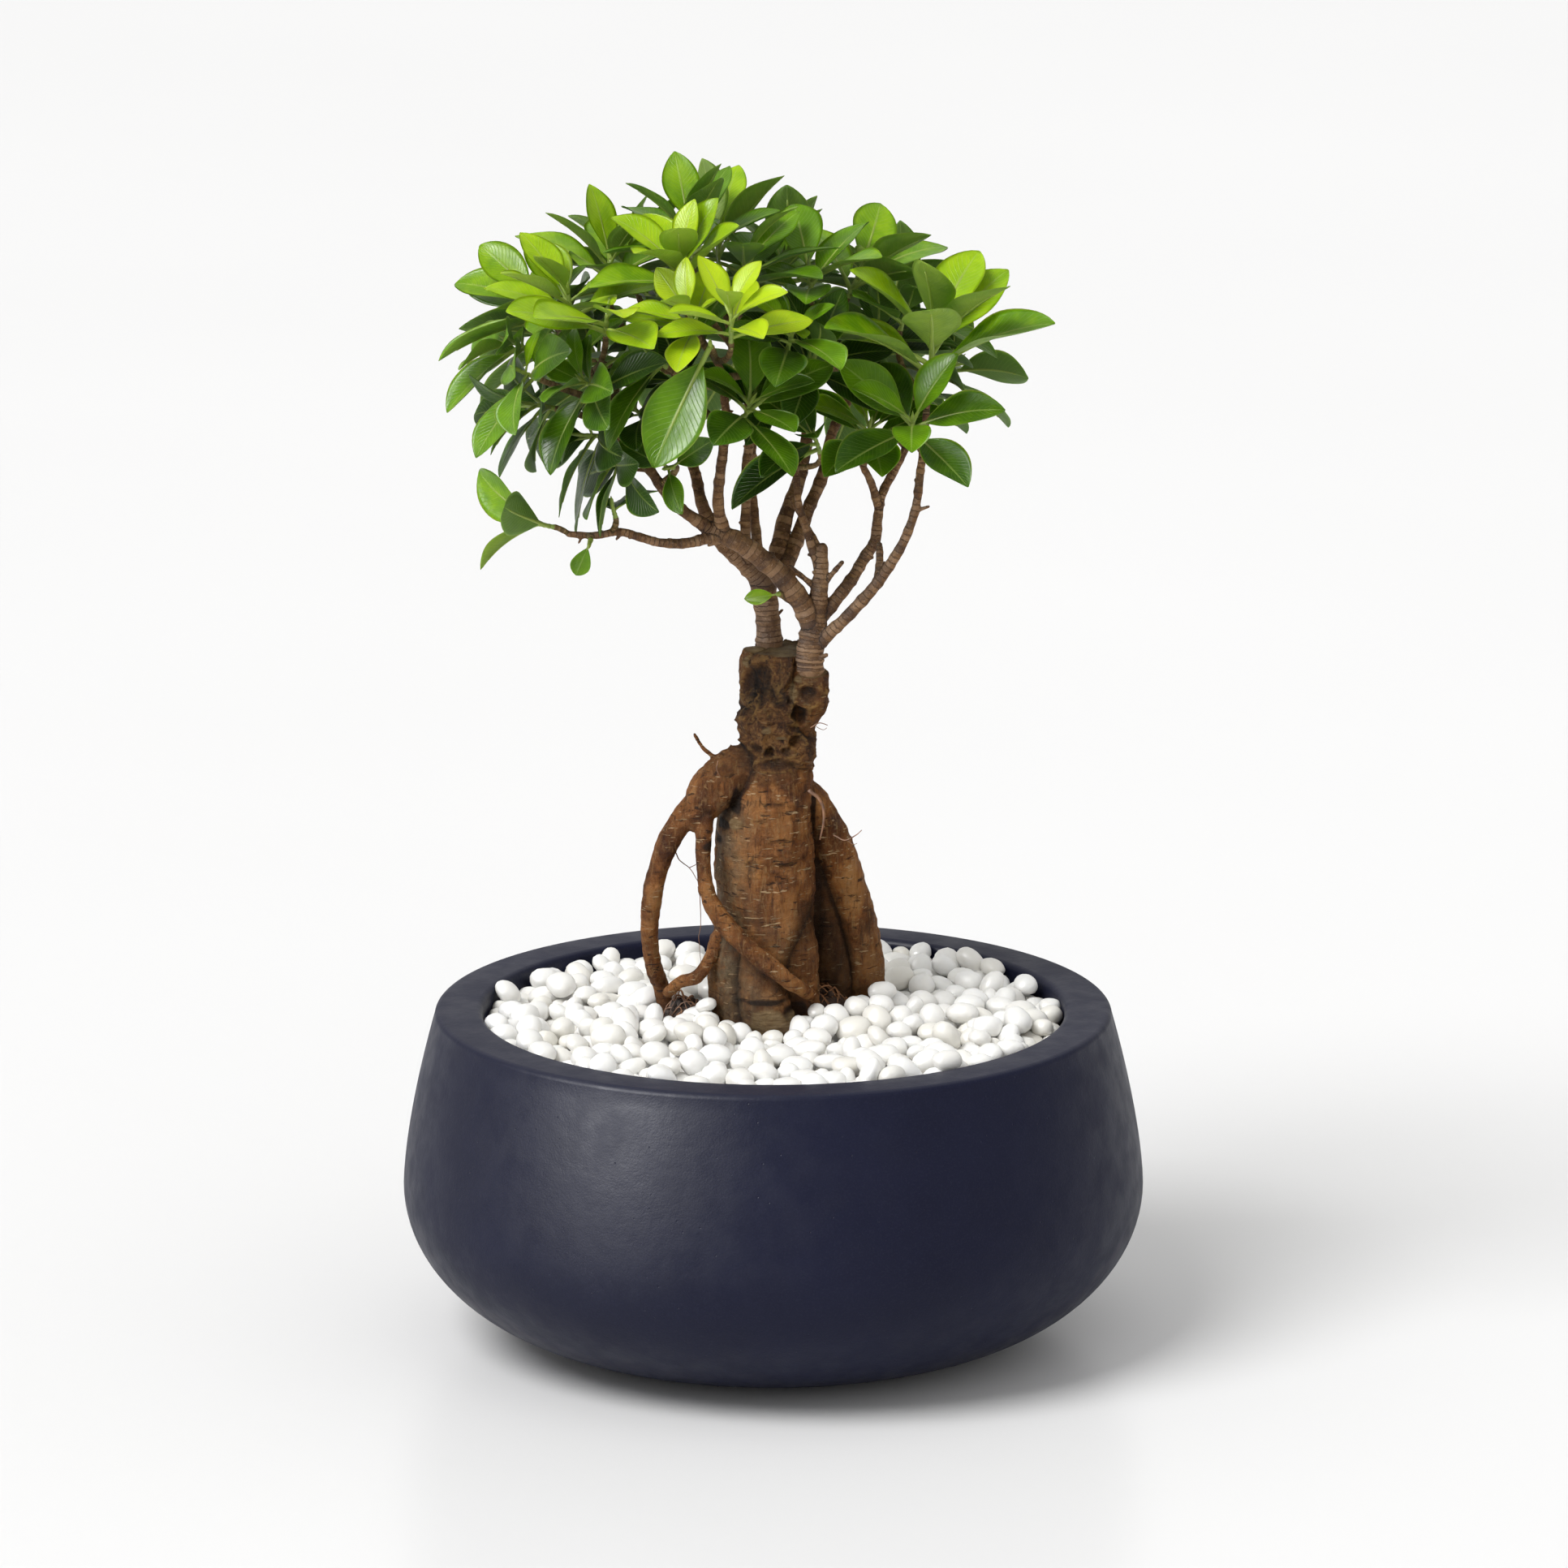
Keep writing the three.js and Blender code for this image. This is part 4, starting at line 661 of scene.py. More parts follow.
def branch_bark():
    """Young bark: grey-brown with fine rings across each branch, pale leaf scars, and painted shade where branches
    meet.
    """
    s = Surface("branch_bark")
    limb = s.parts("limb")
    along, green = limb[0], limb[1]
    colour = s.ramp(
        s.noise(6, 5, 0.65),
        (0.3, (0.080, 0.034, 0.013)), (0.5, (0.185, 0.092, 0.036)), (0.72, (0.330, 0.190, 0.088)),
    )
    uneven = s.math("ADD", along, s.math("MULTIPLY", s.noise(2.5, 3), 1.2))
    wave = s.math("SINE", s.math("MULTIPLY", uneven, 3.2))
    rings = s.between(wave, 0.55, 1.0)
    colour = s.mix(s.math("MULTIPLY", rings, 0.5), colour, (0.36, 0.215, 0.115))
    hollows = s.between(wave, -0.6, -1.0)
    colour = s.mix(s.math("MULTIPLY", hollows, 0.6), colour, (0.05, 0.021, 0.009))
    specks = s.between(s.noise(0.7, 2), 0.66, 0.74)
    colour = s.mix(s.math("MULTIPLY", specks, 0.6), colour, (0.50, 0.36, 0.25))
    # Painted shade where branches and twigs meet.
    colour = s.mix(s.math("MULTIPLY", s.value("crease"), 0.6), colour, (0.04, 0.018, 0.01))
    colour = s.mix(green, colour, s.ramp(s.noise(3, 3), (0.3, (0.13, 0.12, 0.04)), (0.7, (0.22, 0.24, 0.06))))
    s.set(
        Base_Color=colour,
        Roughness=s.between(s.noise(4, 3), 0.3, 0.7, 0.6, 0.8),
        Specular_IOR_Level=0.25,
        Normal=s.bump(wave, 0.22, s.bump(s.noise(1.2, 4, 0.65), 0.45)),
    )
    return s.material


def leaf_skin():
    """Glossy fig leaf: lime when new, deep green when old, with a pale midrib, fine veins and a matte back."""
    s = Surface("fig_leaf")
    blade = s.parts("blade")
    across, along, ripe = blade[0], blade[1], blade[2]
    under, stalk = s.value("under"), s.value("stalk")
    out = s.math("ABSOLUTE", across)
    age = s.math("ADD", ripe, s.between(s.noise(9, 3), 0.3, 0.7, -0.07, 0.07))
    upper = s.ramp(
        age,
        (0.0, (0.46, 0.62, 0.010)), (0.18, (0.310, 0.490, 0.006)), (0.42, (0.120, 0.262, 0.003)),
        (0.7, (0.036, 0.098, 0.003)), (1.0, (0.016, 0.046, 0.003)),
    )
    lower = s.ramp(age, (0.0, (0.34, 0.47, 0.05)), (0.5, (0.120, 0.220, 0.032)), (1.0, (0.065, 0.130, 0.026)))
    colour = s.mix(under, upper, lower)
    vein = s.math("SUBTRACT", along, s.math("MULTIPLY", out, 0.22))
    vein = s.math("ABSOLUTE", s.math("SUBTRACT", s.math("FRACT", s.math("MULTIPLY", vein, 17.0)), 0.5))
    side_veins = s.between(vein, 0.12, 0.0)
    side_veins = s.math("MULTIPLY", side_veins, s.between(out, 1.0, 0.75))
    pale = s.mix(0.5, colour, (0.34, 0.47, 0.10))
    colour = s.mix(s.math("MULTIPLY", side_veins, 0.28), colour, pale)
    midrib = s.between(out, 0.075, 0.03)
    colour = s.mix(s.math("MULTIPLY", midrib, 0.8), colour, pale)
    edge = s.between(out, 0.93, 1.0)
    colour = s.mix(s.math("MULTIPLY", edge, 0.5), colour, pale)
    colour = s.mix(stalk, colour, s.mix(0.5, pale, (0.30, 0.36, 0.08)))
    gloss = s.between(s.noise(5, 3), 0.3, 0.7, 0.30, 0.42)
    gloss = s.math("ADD", gloss, s.math("MULTIPLY", under, 0.22))
    relief = s.math("SUBTRACT", s.noise(1.3, 3), s.math("MULTIPLY", s.math("ADD", side_veins, midrib), 0.6))
    s.set(
        Base_Color=colour,
        Roughness=gloss,
        Normal=s.bump(relief, 0.10),
        Specular_IOR_Level=0.17,
        Subsurface_Weight=0.3,
        Subsurface_Radius=(0.7, 1.0, 0.2),
        Subsurface_Scale=0.0008,
    )
    return s.material


def bud_skin():
    """Shoot stems and rolled buds: yellow-green."""
    s = Surface("shoot_stem")
    colour = s.ramp(s.noise(3, 3), (0.3, (0.16, 0.24, 0.03)), (0.7, (0.34, 0.44, 0.07)))
    s.set(Base_Color=colour, Roughness=0.45, Normal=s.bump(s.noise(0.8, 3), 0.08))
    return s.material


def studio_floor():
    """Near-white acrylic with a soft sheen."""
    s = Surface("studio_floor")
    colour = s.ramp(s.noise(900, 2), (0.3, (0.81, 0.81, 0.81)), (0.7, (0.83, 0.83, 0.83)))
    s.set(Base_Color=colour, Roughness=0.26, Specular_IOR_Level=0.22)
    return s.material


# ------------------------------------------------------------------------------------------------ settings


def length(name, description, millimetres):
    """A setting that is a length."""
    return FloatProperty(name=name, description=description, default=millimetres * MM, unit="LENGTH")


class BowlSettings(bpy.types.PropertyGroup):
    """The bowl's outline and the soil and dressing in it."""

    base_radius: length("Base radius", "Flat that it stands on", 60)
    belly_height: length("Belly height", "Height of the widest part", 58)
    rim_radius: length("Rim radius", "Outside of the rim", 125)
    rim_width: length("Rim width", "Flat top of the rim", 17.5)
    rim_depth: length("Rim depth", "Thickness of the rim", 13)
    wall: length("Wall", "Thickness below the rim", 9)
    floor: length("Floor", "Thickness of the base", 10)
    edge: length("Edge", "Rounding of the rim", 2.4)
    segments: IntProperty(name="Segments", description="Steps round the bowl", default=192)


class DressingSettings(bpy.types.PropertyGroup):
    """The pebbles and the soil between the roots."""

    pebbles: IntProperty(name="Pebbles", description="How many pebbles are poured", default=760)
    smallest: length("Smallest", "Mean radius of the smallest", 3.5)
    largest: length("Largest", "Mean radius of the largest", 5.35)
    crumbs: IntProperty(name="Crumbs", description="Loose crumbs of soil", default=420)
    fibres: IntProperty(name="Fibres", description="Fine roots on the soil", default=70)


class TreeSettings(bpy.types.PropertyGroup):
    """The bark's fineness and the leaves' proportions."""

    root_voxel: length("Root detail", "Grid under the bark", 0.62)
    limb_voxel: length("Limb detail", "Grid under young bark", 0.42)
    leaf_width: FloatProperty(name="Leaf width", description="Share of the leaf's length", default=0.53)
    petiole: FloatProperty(name="Petiole", description="Share of the leaf's length", default=0.16)
    leaf_room: length("Leaf room", "Least gap between leaves", 2.3)
    bark_room: length("Bark room", "Least gap to bark", 1.2)
    leaf_thickness: length("Leaf thickness", "Thickness of a blade", 0.5)


class StageSettings(bpy.types.PropertyGroup):
    """The camera and the lights."""

    distance: length("Distance", "Camera to the tree's middle", 3636)
    elevation: FloatProperty(
        name="Elevation", description="Camera above the horizon", default=math.radians(13.6), subtype="ANGLE"
    )
    lens: FloatProperty(name="Lens", description="Focal length in millimetres", default=227.4)
    aim_side: length("Aim sideways", "Point aimed at, to the right", 3.9)
    aim_height: length("Aim height", "Height of the point aimed at", 208.4)
    key: FloatProperty(name="Key light", description="Strength of the key sun", default=2.5)
    fill: FloatProperty(name="Fill light", description="Strength of the fill sun", default=0.15)
    window: FloatProperty(name="Window", description="Watts of the softbox that shows as a sheen", default=185)


# ------------------------------------------------------------------------------------------------ bowl


def bowl_outside(bowl, inset=0.0, lower_steps=28, upper_steps=14):
    """The bowl's outside from its base to just under the rim, in millimetres."""
    low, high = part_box("pot")
    belly, height = (high[0] - low[0]) / 2 / MM, high[2] / MM
    base, middle, rim, edge = (v / MM for v in (bowl.base_radius, bowl.belly_height, bowl.rim_radius, bowl.edge))
    profile = []
    for i in range(lower_steps + 1):
        turn = math.pi / 2 * i / lower_steps
        profile.append((base + (belly - base) * math.sin(turn) - inset, middle * (1 - math.cos(turn))))
    for i in range(1, upper_steps + 1):
        share = i / upper_steps
        profile.append((belly - (belly - rim) * share**1.5 - inset, middle + (height - edge - middle) * share))
    return profile


def arc(centre, radius, start, end, steps):
    turns = [math.radians(start + (end - start) * i / steps) for i in range(steps + 1)]
    return [(centre[0] + radius * math.cos(a), centre[1] + radius * math.sin(a)) for a in turns]


def lathe(profile, segments):
    """A closed solid of revolution whose profile starts and ends on the axis."""
    ring = profile[1:-1]
    turns = np.arange(segments) * 2 * math.pi / segments
    vertices = [(0, 0, profile[0][1])]
    for radius, height in ring:
        vertices += [(radius * math.cos(a), radius * math.sin(a), height) for a in turns]
    vertices.append((0, 0, profile[-1][1]))
    last, faces = len(vertices) - 1, []
    for k in range(segments):
        after = (k + 1) % segments
        faces.append((0, 1 + after, 1 + k))
        top = 1 + (len(ring) - 1) * segments
        faces.append((top + k, top + after, last))
        for i in range(len(ring) - 1):
            a, b = 1 + i * segments + k, 1 + i * segments + after
            faces.append((a, b, b + segments, a + segments))
    return np.array(vertices), faces


def inner_outline(bowl, gap=0.0):
    """The hollow's outline from the axis at the floor up to under the rim, in millimetres."""
    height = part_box("pot")[1][2] / MM
    wall, floor, depth = bowl.wall / MM, bowl.floor / MM, bowl.rim_depth / MM
    sides = [(r, z) for r, z in bowl_outside(bowl, wall + gap) if floor + gap + 1 < z < height - depth - wall]
    return [(0, floor + gap), (sides[0][0] - 8, floor + gap)] + sides


class AddBowl(bpy.types.Operator):
    """Turn the bowl with its rolled rim"""

    bl_idname = "bonsai.add_bowl"
    bl_label = "Add Bowl"

    def execute(self, context):
        bowl = context.scene.bonsai_bowl
        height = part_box("pot")[1][2] / MM
        rim, width, edge, depth = (v / MM for v in (bowl.rim_radius, bowl.rim_width, bowl.edge, bowl.rim_depth))
        mouth = rim - width
        outside = bowl_outside(bowl)
        foot = [(0, 0), (outside[0][0] - 2.5, 0), (outside[0][0] - 0.8, 0.15)]
        lip = arc((rim - edge, height - edge), edge, 8, 90, 7)
        lip += arc((mouth + edge, height - edge), edge, 90, 180, 8)
        under = [(mouth, height - depth), (mouth + 4, height - depth - 3)]
        inside = inner_outline(bowl)[::-1]
        vertices, faces = lathe(foot + outside[1:] + lip + under + inside, bowl.segments)
        out = np.hypot(vertices[:, 0], vertices[:, 1])
        hand = 1 + 0.0012 * wobble(vertices, 60, 3) * (out > 20)
        vertices[:, :2] *= hand[:, None]
        piece = new_piece("bowl", vertices, faces, glazed_clay())
        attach(piece, "root")
        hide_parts("pot")
        return {"FINISHED"}


# ------------------------------------------------------------------------------------------------ soil and pebbles


def soil_height(x, y):
    """How high the soil stands: crumbly and level, and heaped up where it shows between the roots."""
    level = SOIL_LEVEL
    points = np.stack([x, y, np.zeros_like(x)], axis=1)
    height = level - 0.6 + 0.7 * wobble(points, 9, 1) + 0.45 * wobble(points, 3, 2)
    for at_x, at_y, half_x, half_y in BARE_SOIL:
        reach = np.hypot((x - at_x) / half_x, (y - at_y) / half_y)
        height = height + 14 * np.clip(1.3 - reach, 0, 1) ** 0.8
    near = np.hypot((x + 1) / 34, (y - 2) / 26)
    return height + 3.0 * np.clip(1.2 - near, 0, 1)


class AddSoil(bpy.types.Operator):
    """Fill the bowl with soil, and strew crumbs and fine roots where it shows"""

    bl_idname = "bonsai.add_soil"
    bl_label = "Add Soil"

    def execute(self, context):
        bowl, dressing = context.scene.bonsai_bowl, context.scene.bonsai_dressing
        chosen = np.random.default_rng(SEED)
        level = SOIL_LEVEL
        outline = [(r, z) for r, z in inner_outline(bowl, 0.5) if z < level - 4]
        reach = outline[-1][0]
        rings = [(reach * (i / 90) ** 0.8, level) for i in range(90, 0, -1)]
        vertices, faces = lathe(outline + rings + [(0, level)], 240)
        top = vertices[:, 2] > level - 1
        vertices[top, 2] = soil_height(vertices[top, 0], vertices[top, 1])
        parts = [(vertices, faces)]
        for _ in range(dressing.crumbs):
            parts.append(self.crumb(chosen))
        piece = new_piece("potting_soil", *gathered(parts), potting_soil())
        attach(piece, "root")
        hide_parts("soil")
        roots = new_piece("fine_roots", *gathered(self.fibres(chosen, dressing.fibres)), root_fibre())
        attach(roots, "root")
        return {"FINISHED"}

    def spot(self, chosen, spread=1.05):
        """A place on the bare soil, as x and y."""
        at_x, at_y, half_x, half_y = BARE_SOIL[0] if chosen.random() < 0.72 else BARE_SOIL[1]
        turn, reach = chosen.uniform(0, 2 * math.pi), spread * math.sqrt(chosen.random())
        return at_x + half_x * reach * math.cos(turn), at_y + half_y * reach * math.sin(turn)

    def crumb(self, chosen):
        x, y = self.spot(chosen, 1.25)
        size = chosen.uniform(0.5, 1.7)
        ball, faces = cube_ball(2)
        ball = ball * (1 + 0.35 * wobble(ball * 3 + chosen.uniform(0, 90, 3), 1.1)[:, None])
        stretch = chosen.uniform(0.6, 1.3, 3)
        z = soil_height(np.array([x]), np.array([y]))[0]
        return ball * stretch * size + (x, y, z + 0.3 * size), faces

    def fibres(self, chosen, count):
        for _ in range(count):
            x, y = self.spot(chosen)
            heading, length = chosen.uniform(0, 2 * math.pi), chosen.uniform(5, 16)
            bow = chosen.uniform(-1.4, 1.4)
            lift = chosen.uniform(0.6, 4.5)
            share = np.linspace(0, 1, 9)
            angle = heading + bow * (share - 0.5)
            run = length * (share - 0.5)
            px, py = x + run * np.cos(angle), y + run * np.sin(angle)
            rise = lift * np.sin(math.pi * share) + 0.3 * wobble(np.stack([px, py, px], 1), 3)
            pz = soil_height(px, py) + rise
            radius = chosen.uniform(0.16, 0.42) * (1.15 - 0.7 * share)
            yield tube(np.stack([px, py, pz], axis=1), radius, 6)


def cube_ball(cuts):
    """A ball of radius 1 from a cube's six sides, each cut into squares: vertices and faces, closed."""
    seen, vertices, faces = {}, [], []

    def corner(p):
        key = tuple(np.round(p, 6))
        if key not in seen:
            seen[key] = len(vertices)
            vertices.append(unit(np.tan(np.array(p) * math.pi / 4)))
        return seen[key]

    steps = np.linspace(-1, 1, cuts + 1)
    for axis in range(3):
        for sign in (-1, 1):
            for i in range(cuts):
                for k in range(cuts):
                    square = [(i, k), (i + 1, k), (i + 1, k + 1), (i, k + 1)]
                    corners = [corner(np.roll((sign, steps[a], steps[b]), axis)) for a, b in square]
                    faces.append(tuple(corners if sign > 0 else corners[::-1]))
    return np.array(vertices), faces


# The pour: steps in all, steps in which pebbles fall and how far, and how often and how wide pairs are looked for.
POUR_STEPS, FALLING_STEPS, FALL = 420, 330, 0.22
PAIRING_STEPS, PAIR_REACH = 12, 15
# How near a pebble's middle comes to each thing, as a share of its size; under 1 they press together a little.
NEARNESS = {"pebble": 0.97, "root": 0.85, "wall": 0.93, "soil": 0.88}
BARE_ROOM = 2.2  # between the bare soil and the middles of pebbles


def pour_pebbles(count, sizes, turns, axes, chosen, bowl_reach):
    """Lets pebbles settle on the soil: they fall, push each other apart and stay off the roots and the bowl."""
    roots = Nearest(ROOTSTOCK.values(), 4)
    low_roots = (roots.points[:, 2] < 142) & (roots.points[:, 2] > 104)
    root_points, root_radii = roots.points[low_roots], roots.radii[low_roots]
    reach = bowl_reach * np.sqrt((np.arange(count) + 0.5) / count)
    turn = np.arange(count) * math.pi * (3 - math.sqrt(5))
    at = np.stack([reach * np.cos(turn), reach * np.sin(turn), chosen.uniform(119, 146, count)], axis=1)
    at[:, :2] += chosen.uniform(-2, 2, (count, 2))

    def half(index, direction):
        """How far a pebble reaches in a direction from its middle."""
        local = np.einsum("nij,nj->ni", turns[index], direction) / axes[index]
        return 1 / np.linalg.norm(local, axis=1)

    pairs = None
    for step in range(POUR_STEPS):
        if step < FALLING_STEPS:
            at[:, 2] -= FALL
        if step % PAIRING_STEPS == 0:
            gap = np.linalg.norm(at[:, None] - at[None], axis=2)
            first, second = np.where(np.triu(gap < PAIR_REACH, 1))
            pairs = first, second
        for _ in range(2):
            first, second = pairs
            apart = at[second] - at[first]
            far = np.linalg.norm(apart, axis=1)
            direction = apart / np.maximum(far, 1e-6)[:, None]
            room = NEARNESS["pebble"] * (half(first, direction) + half(second, -direction))
            push = np.clip(room - far, 0, None)[:, None] * direction * 0.42
            np.add.at(at, first, -push)
            np.add.at(at, second, push)
            off = at[:, None] - root_points[None]
            far = np.linalg.norm(off, axis=2)
            deep = np.clip(root_radii[None] + NEARNESS["root"] * sizes[:, None] - far, 0, None)
            worst = deep.argmax(axis=1)
            amount = deep[np.arange(count), worst]
            away = off[np.arange(count), worst] * (1, 1, 0.25)
            at += away / np.maximum(np.linalg.norm(away, axis=1), 1e-6)[:, None] * amount[:, None] * 0.5
            for at_x, at_y, half_x, half_y in BARE_SOIL:
                off_x = (at[:, 0] - at_x) / (half_x + BARE_ROOM)
                off_y = (at[:, 1] - at_y) / (half_y + BARE_ROOM)
                inside = np.clip(1 - np.hypot(off_x, off_y), 0, None)
                length = np.maximum(np.hypot(off_x, off_y), 1e-6)
                at[:, 0] += inside * off_x / length * 1.6
                at[:, 1] += inside * off_y / length * 1.6
            out = np.hypot(at[:, 0], at[:, 1])
            limit = bowl_reach - NEARNESS["wall"] * sizes
            at[:, :2] *= np.minimum(1, limit / np.maximum(out, 1e-6))[:, None]
            down = np.tile([0.0, 0, -1], (count, 1))
            floor = soil_height(at[:, 0], at[:, 1]) + NEARNESS["soil"] * half(np.arange(count), down)
            at[:, 2] = np.maximum(at[:, 2], floor)
    return at


class AddPebbles(bpy.types.Operator):
    """Pour the white pebbles, each one shaped and turned by itself"""

    bl_idname = "bonsai.add_pebbles"
    bl_label = "Add Pebbles"

    def execute(self, context):
        bowl, dressing = context.scene.bonsai_bowl, context.scene.bonsai_dressing
        chosen = np.random.default_rng(SEED + 1)
        count = dressing.pebbles
        sizes = chosen.uniform(dressing.smallest / MM, dressing.largest / MM, count)
        axes = sizes[:, None] * np.stack(
            [
                chosen.uniform(1.02, 1.34, count),
                chosen.uniform(0.88, 1.04, count),
                chosen.uniform(0.66, 0.88, count),
            ],
            axis=1,
        )
        turns = np.array([self.turn(chosen) for _ in range(count)])
        reach = (bowl.rim_radius - bowl.rim_width) / MM - 0.2
        at = pour_pebbles(count, sizes, turns, axes, chosen, reach)
        ball, faces = cube_ball(4)
        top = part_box("pebble_layer")[1][2] / MM
        parts, tone, sunk = [], [], []
        for i in range(count):
            shape = np.sign(ball) * np.abs(ball) ** chosen.uniform(0.86, 1.06)
            lumps = 1 + 0.10 * wobble(ball + chosen.uniform(0, 99, 3), 0.9) + 0.03 * wobble(ball, 0.4, i)
            body = (shape * lumps[:, None] * axes[i]) @ turns[i]
            parts.append((body + at[i], faces))
            tone.append(np.full(len(ball), chosen.random()))
            # How deep each part lies under the layer's top, from 0 to 1: the share of painted shade between the
            # pebbles.
            depth = (top - 6 - (body[:, 2] + at[i, 2])) / 9
            sunk.append(np.clip(depth, 0, 1))
        piece = new_piece("white_pebbles", *gathered(parts), pebble_stone())
        add_values(piece.data, "tone", np.concatenate(tone))
        add_values(piece.data, "sunk", np.concatenate(sunk))
        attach(piece, "root")
        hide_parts("pebble_layer")
        return {"FINISHED"}

    def turn(self, chosen):
        """A rotation that lays a pebble nearly flat, or now and then stands it on edge."""
        tilt = chosen.normal(0, 0.35) if chosen.random() < 0.72 else chosen.uniform(0.6, 1.5)
        heading, roll = chosen.uniform(0, 2 * math.pi, 2)
        cos, sin = math.cos, math.sin
        spin = np.array([[cos(roll), sin(roll), 0], [-sin(roll), cos(roll), 0], [0, 0, 1]])
        lean = np.array([[1, 0, 0], [0, cos(tilt), sin(tilt)], [0, -sin(tilt), cos(tilt)]])
        head = np.array([[cos(heading), sin(heading), 0], [-sin(heading), cos(heading), 0], [0, 0, 1]])
        return spin @ lean @ head


# ------------------------------------------------------------------------------------------------ rootstock

# Wounds on the front: x, z, half width, half height, how deep, which also sets how much painted shade fills its
# hollow, and how much of its lip shows.
WOUNDS = [
    (-5.5, 248, 6.2, 8.5, 2.0, 0.5), (2.5, 245, 4.0, 7.0, 1.3, 0.2),
    (13, 245.5, 4.4, 3.8, 1.6, 0.9), (9.8, 237.5, 3.4, 4.4, 2.0, 0.8),
    (-9, 240, 3.0, 4.5, 1.0, 0.6), (-6, 224, 2.3, 2.1, 0.6, 0.7),
    (-1.5, 223, 2.2, 2.2, 1.6, 0.7), (4.8, 223.6, 2.1, 2.0, 1.0, 0.8),
    (7.6, 227.5, 2.2, 2.2, 0.6, 0.7), (1, 218.5, 6.5, 2.4, 0.7, 0.6), (-8, 180.5, 2.6, 3.4, 0.5, 0.35),
    (2.5, 191, 3.4, 0.9, 0.4, 0.3), (5, 181, 3.2, 0.8, 0.4, 0.3),
    (1, 204, 4.5, 0.7, 0.4, 0.4), (-4, 198, 3, 0.6, 0.35, 0.3),
]
# Deep shade where limbs meet: x, z, half width, half height.
DARK_GAPS = [
    (-13.4, 204.5, 2.3, 5.5), (-18.5, 195, 3.2, 2.0), (-22.5, 189, 4.2, 2.0),
    (20.6, 149, 3.8, 24), (14.8, 198, 0.9, 9),
    (-3, 131.2, 9, 1.2), (8, 126, 5, 3.5),
]
# Pale spots of cut or torn wood: x, z, half width, half height.
PALE_SPOTS = [
    (-2, 231.5, 1.7, 1.5), (7.4, 246, 1.5, 4.2), (9.5, 250.5, 2.2, 1.3), (-13.2, 196, 3.0, 2.4), (3, 228.5, 2.2, 0.9),
    (-9.5, 256, 1.6, 2.2), (-1, 123.5, 10, 5.2),
]


def front_of(x, z, half_width, half_height, vertices, ragged, seed):
    """How far vertices on the front are from a ragged oval's middle, as a share of its size; 9 elsewhere."""
    shift_x = ragged * half_width * wobble(vertices, 3.2, seed)
    shift_z = ragged * half_height * wobble(vertices, 3.2, seed + 0.5)
    far = np.hypot((vertices[:, 0] + shift_x - x) / half_width, (vertices[:, 2] + shift_z - z) / half_height)
    return np.where(vertices[:, 1] < -1, far, 9.0)


def ridges(vertices, size, seed):
    """Sharp-crested noise from 0 to 1."""
    return (1 - np.abs(wobble(vertices, size, seed))) ** 3


# Hair-thin roots on the trunk: the points each runs through, and its radius at the start.
HAIRS = [
    ([(22, -12, 192), (26, -14, 190.6), (30, -15, 192.6), (32.5, -15.5, 195)], 0.32),
    ([(27, -14, 190.9), (29, -15, 189.2), (30.5, -15.5, 189.6)], 0.16),
    ([(-37, -5, 187), (-35, -6.5, 182), (-31, -8, 178.5), (-27.5, -9, 173), (-26.5, -10, 168)], 0.26),
    ([(-31, -8, 178.5), (-28, -7, 180), (-26, -8, 184)], 0.16),
    ([(-27.5, -9, 172), (-26.8, -9, 160), (-27.4, -9, 150), (-26, -9, 139)], 0.18),
    ([(13.5, -15, 233), (17, -15.5, 235.2), (20, -16, 234.6)], 0.24),
    ([(15, -15.5, 234), (18, -17, 232.8), (19.6, -17, 233.6)], 0.14),
    ([(13, -15.5, 210), (17, -16.5, 206), (18.6, -16.5, 199), (17, -15, 191)], 0.75),
    ([(-19, -13, 214), (-20.5, -14.5, 217.5), (-20, -15, 221)], 0.3),
]


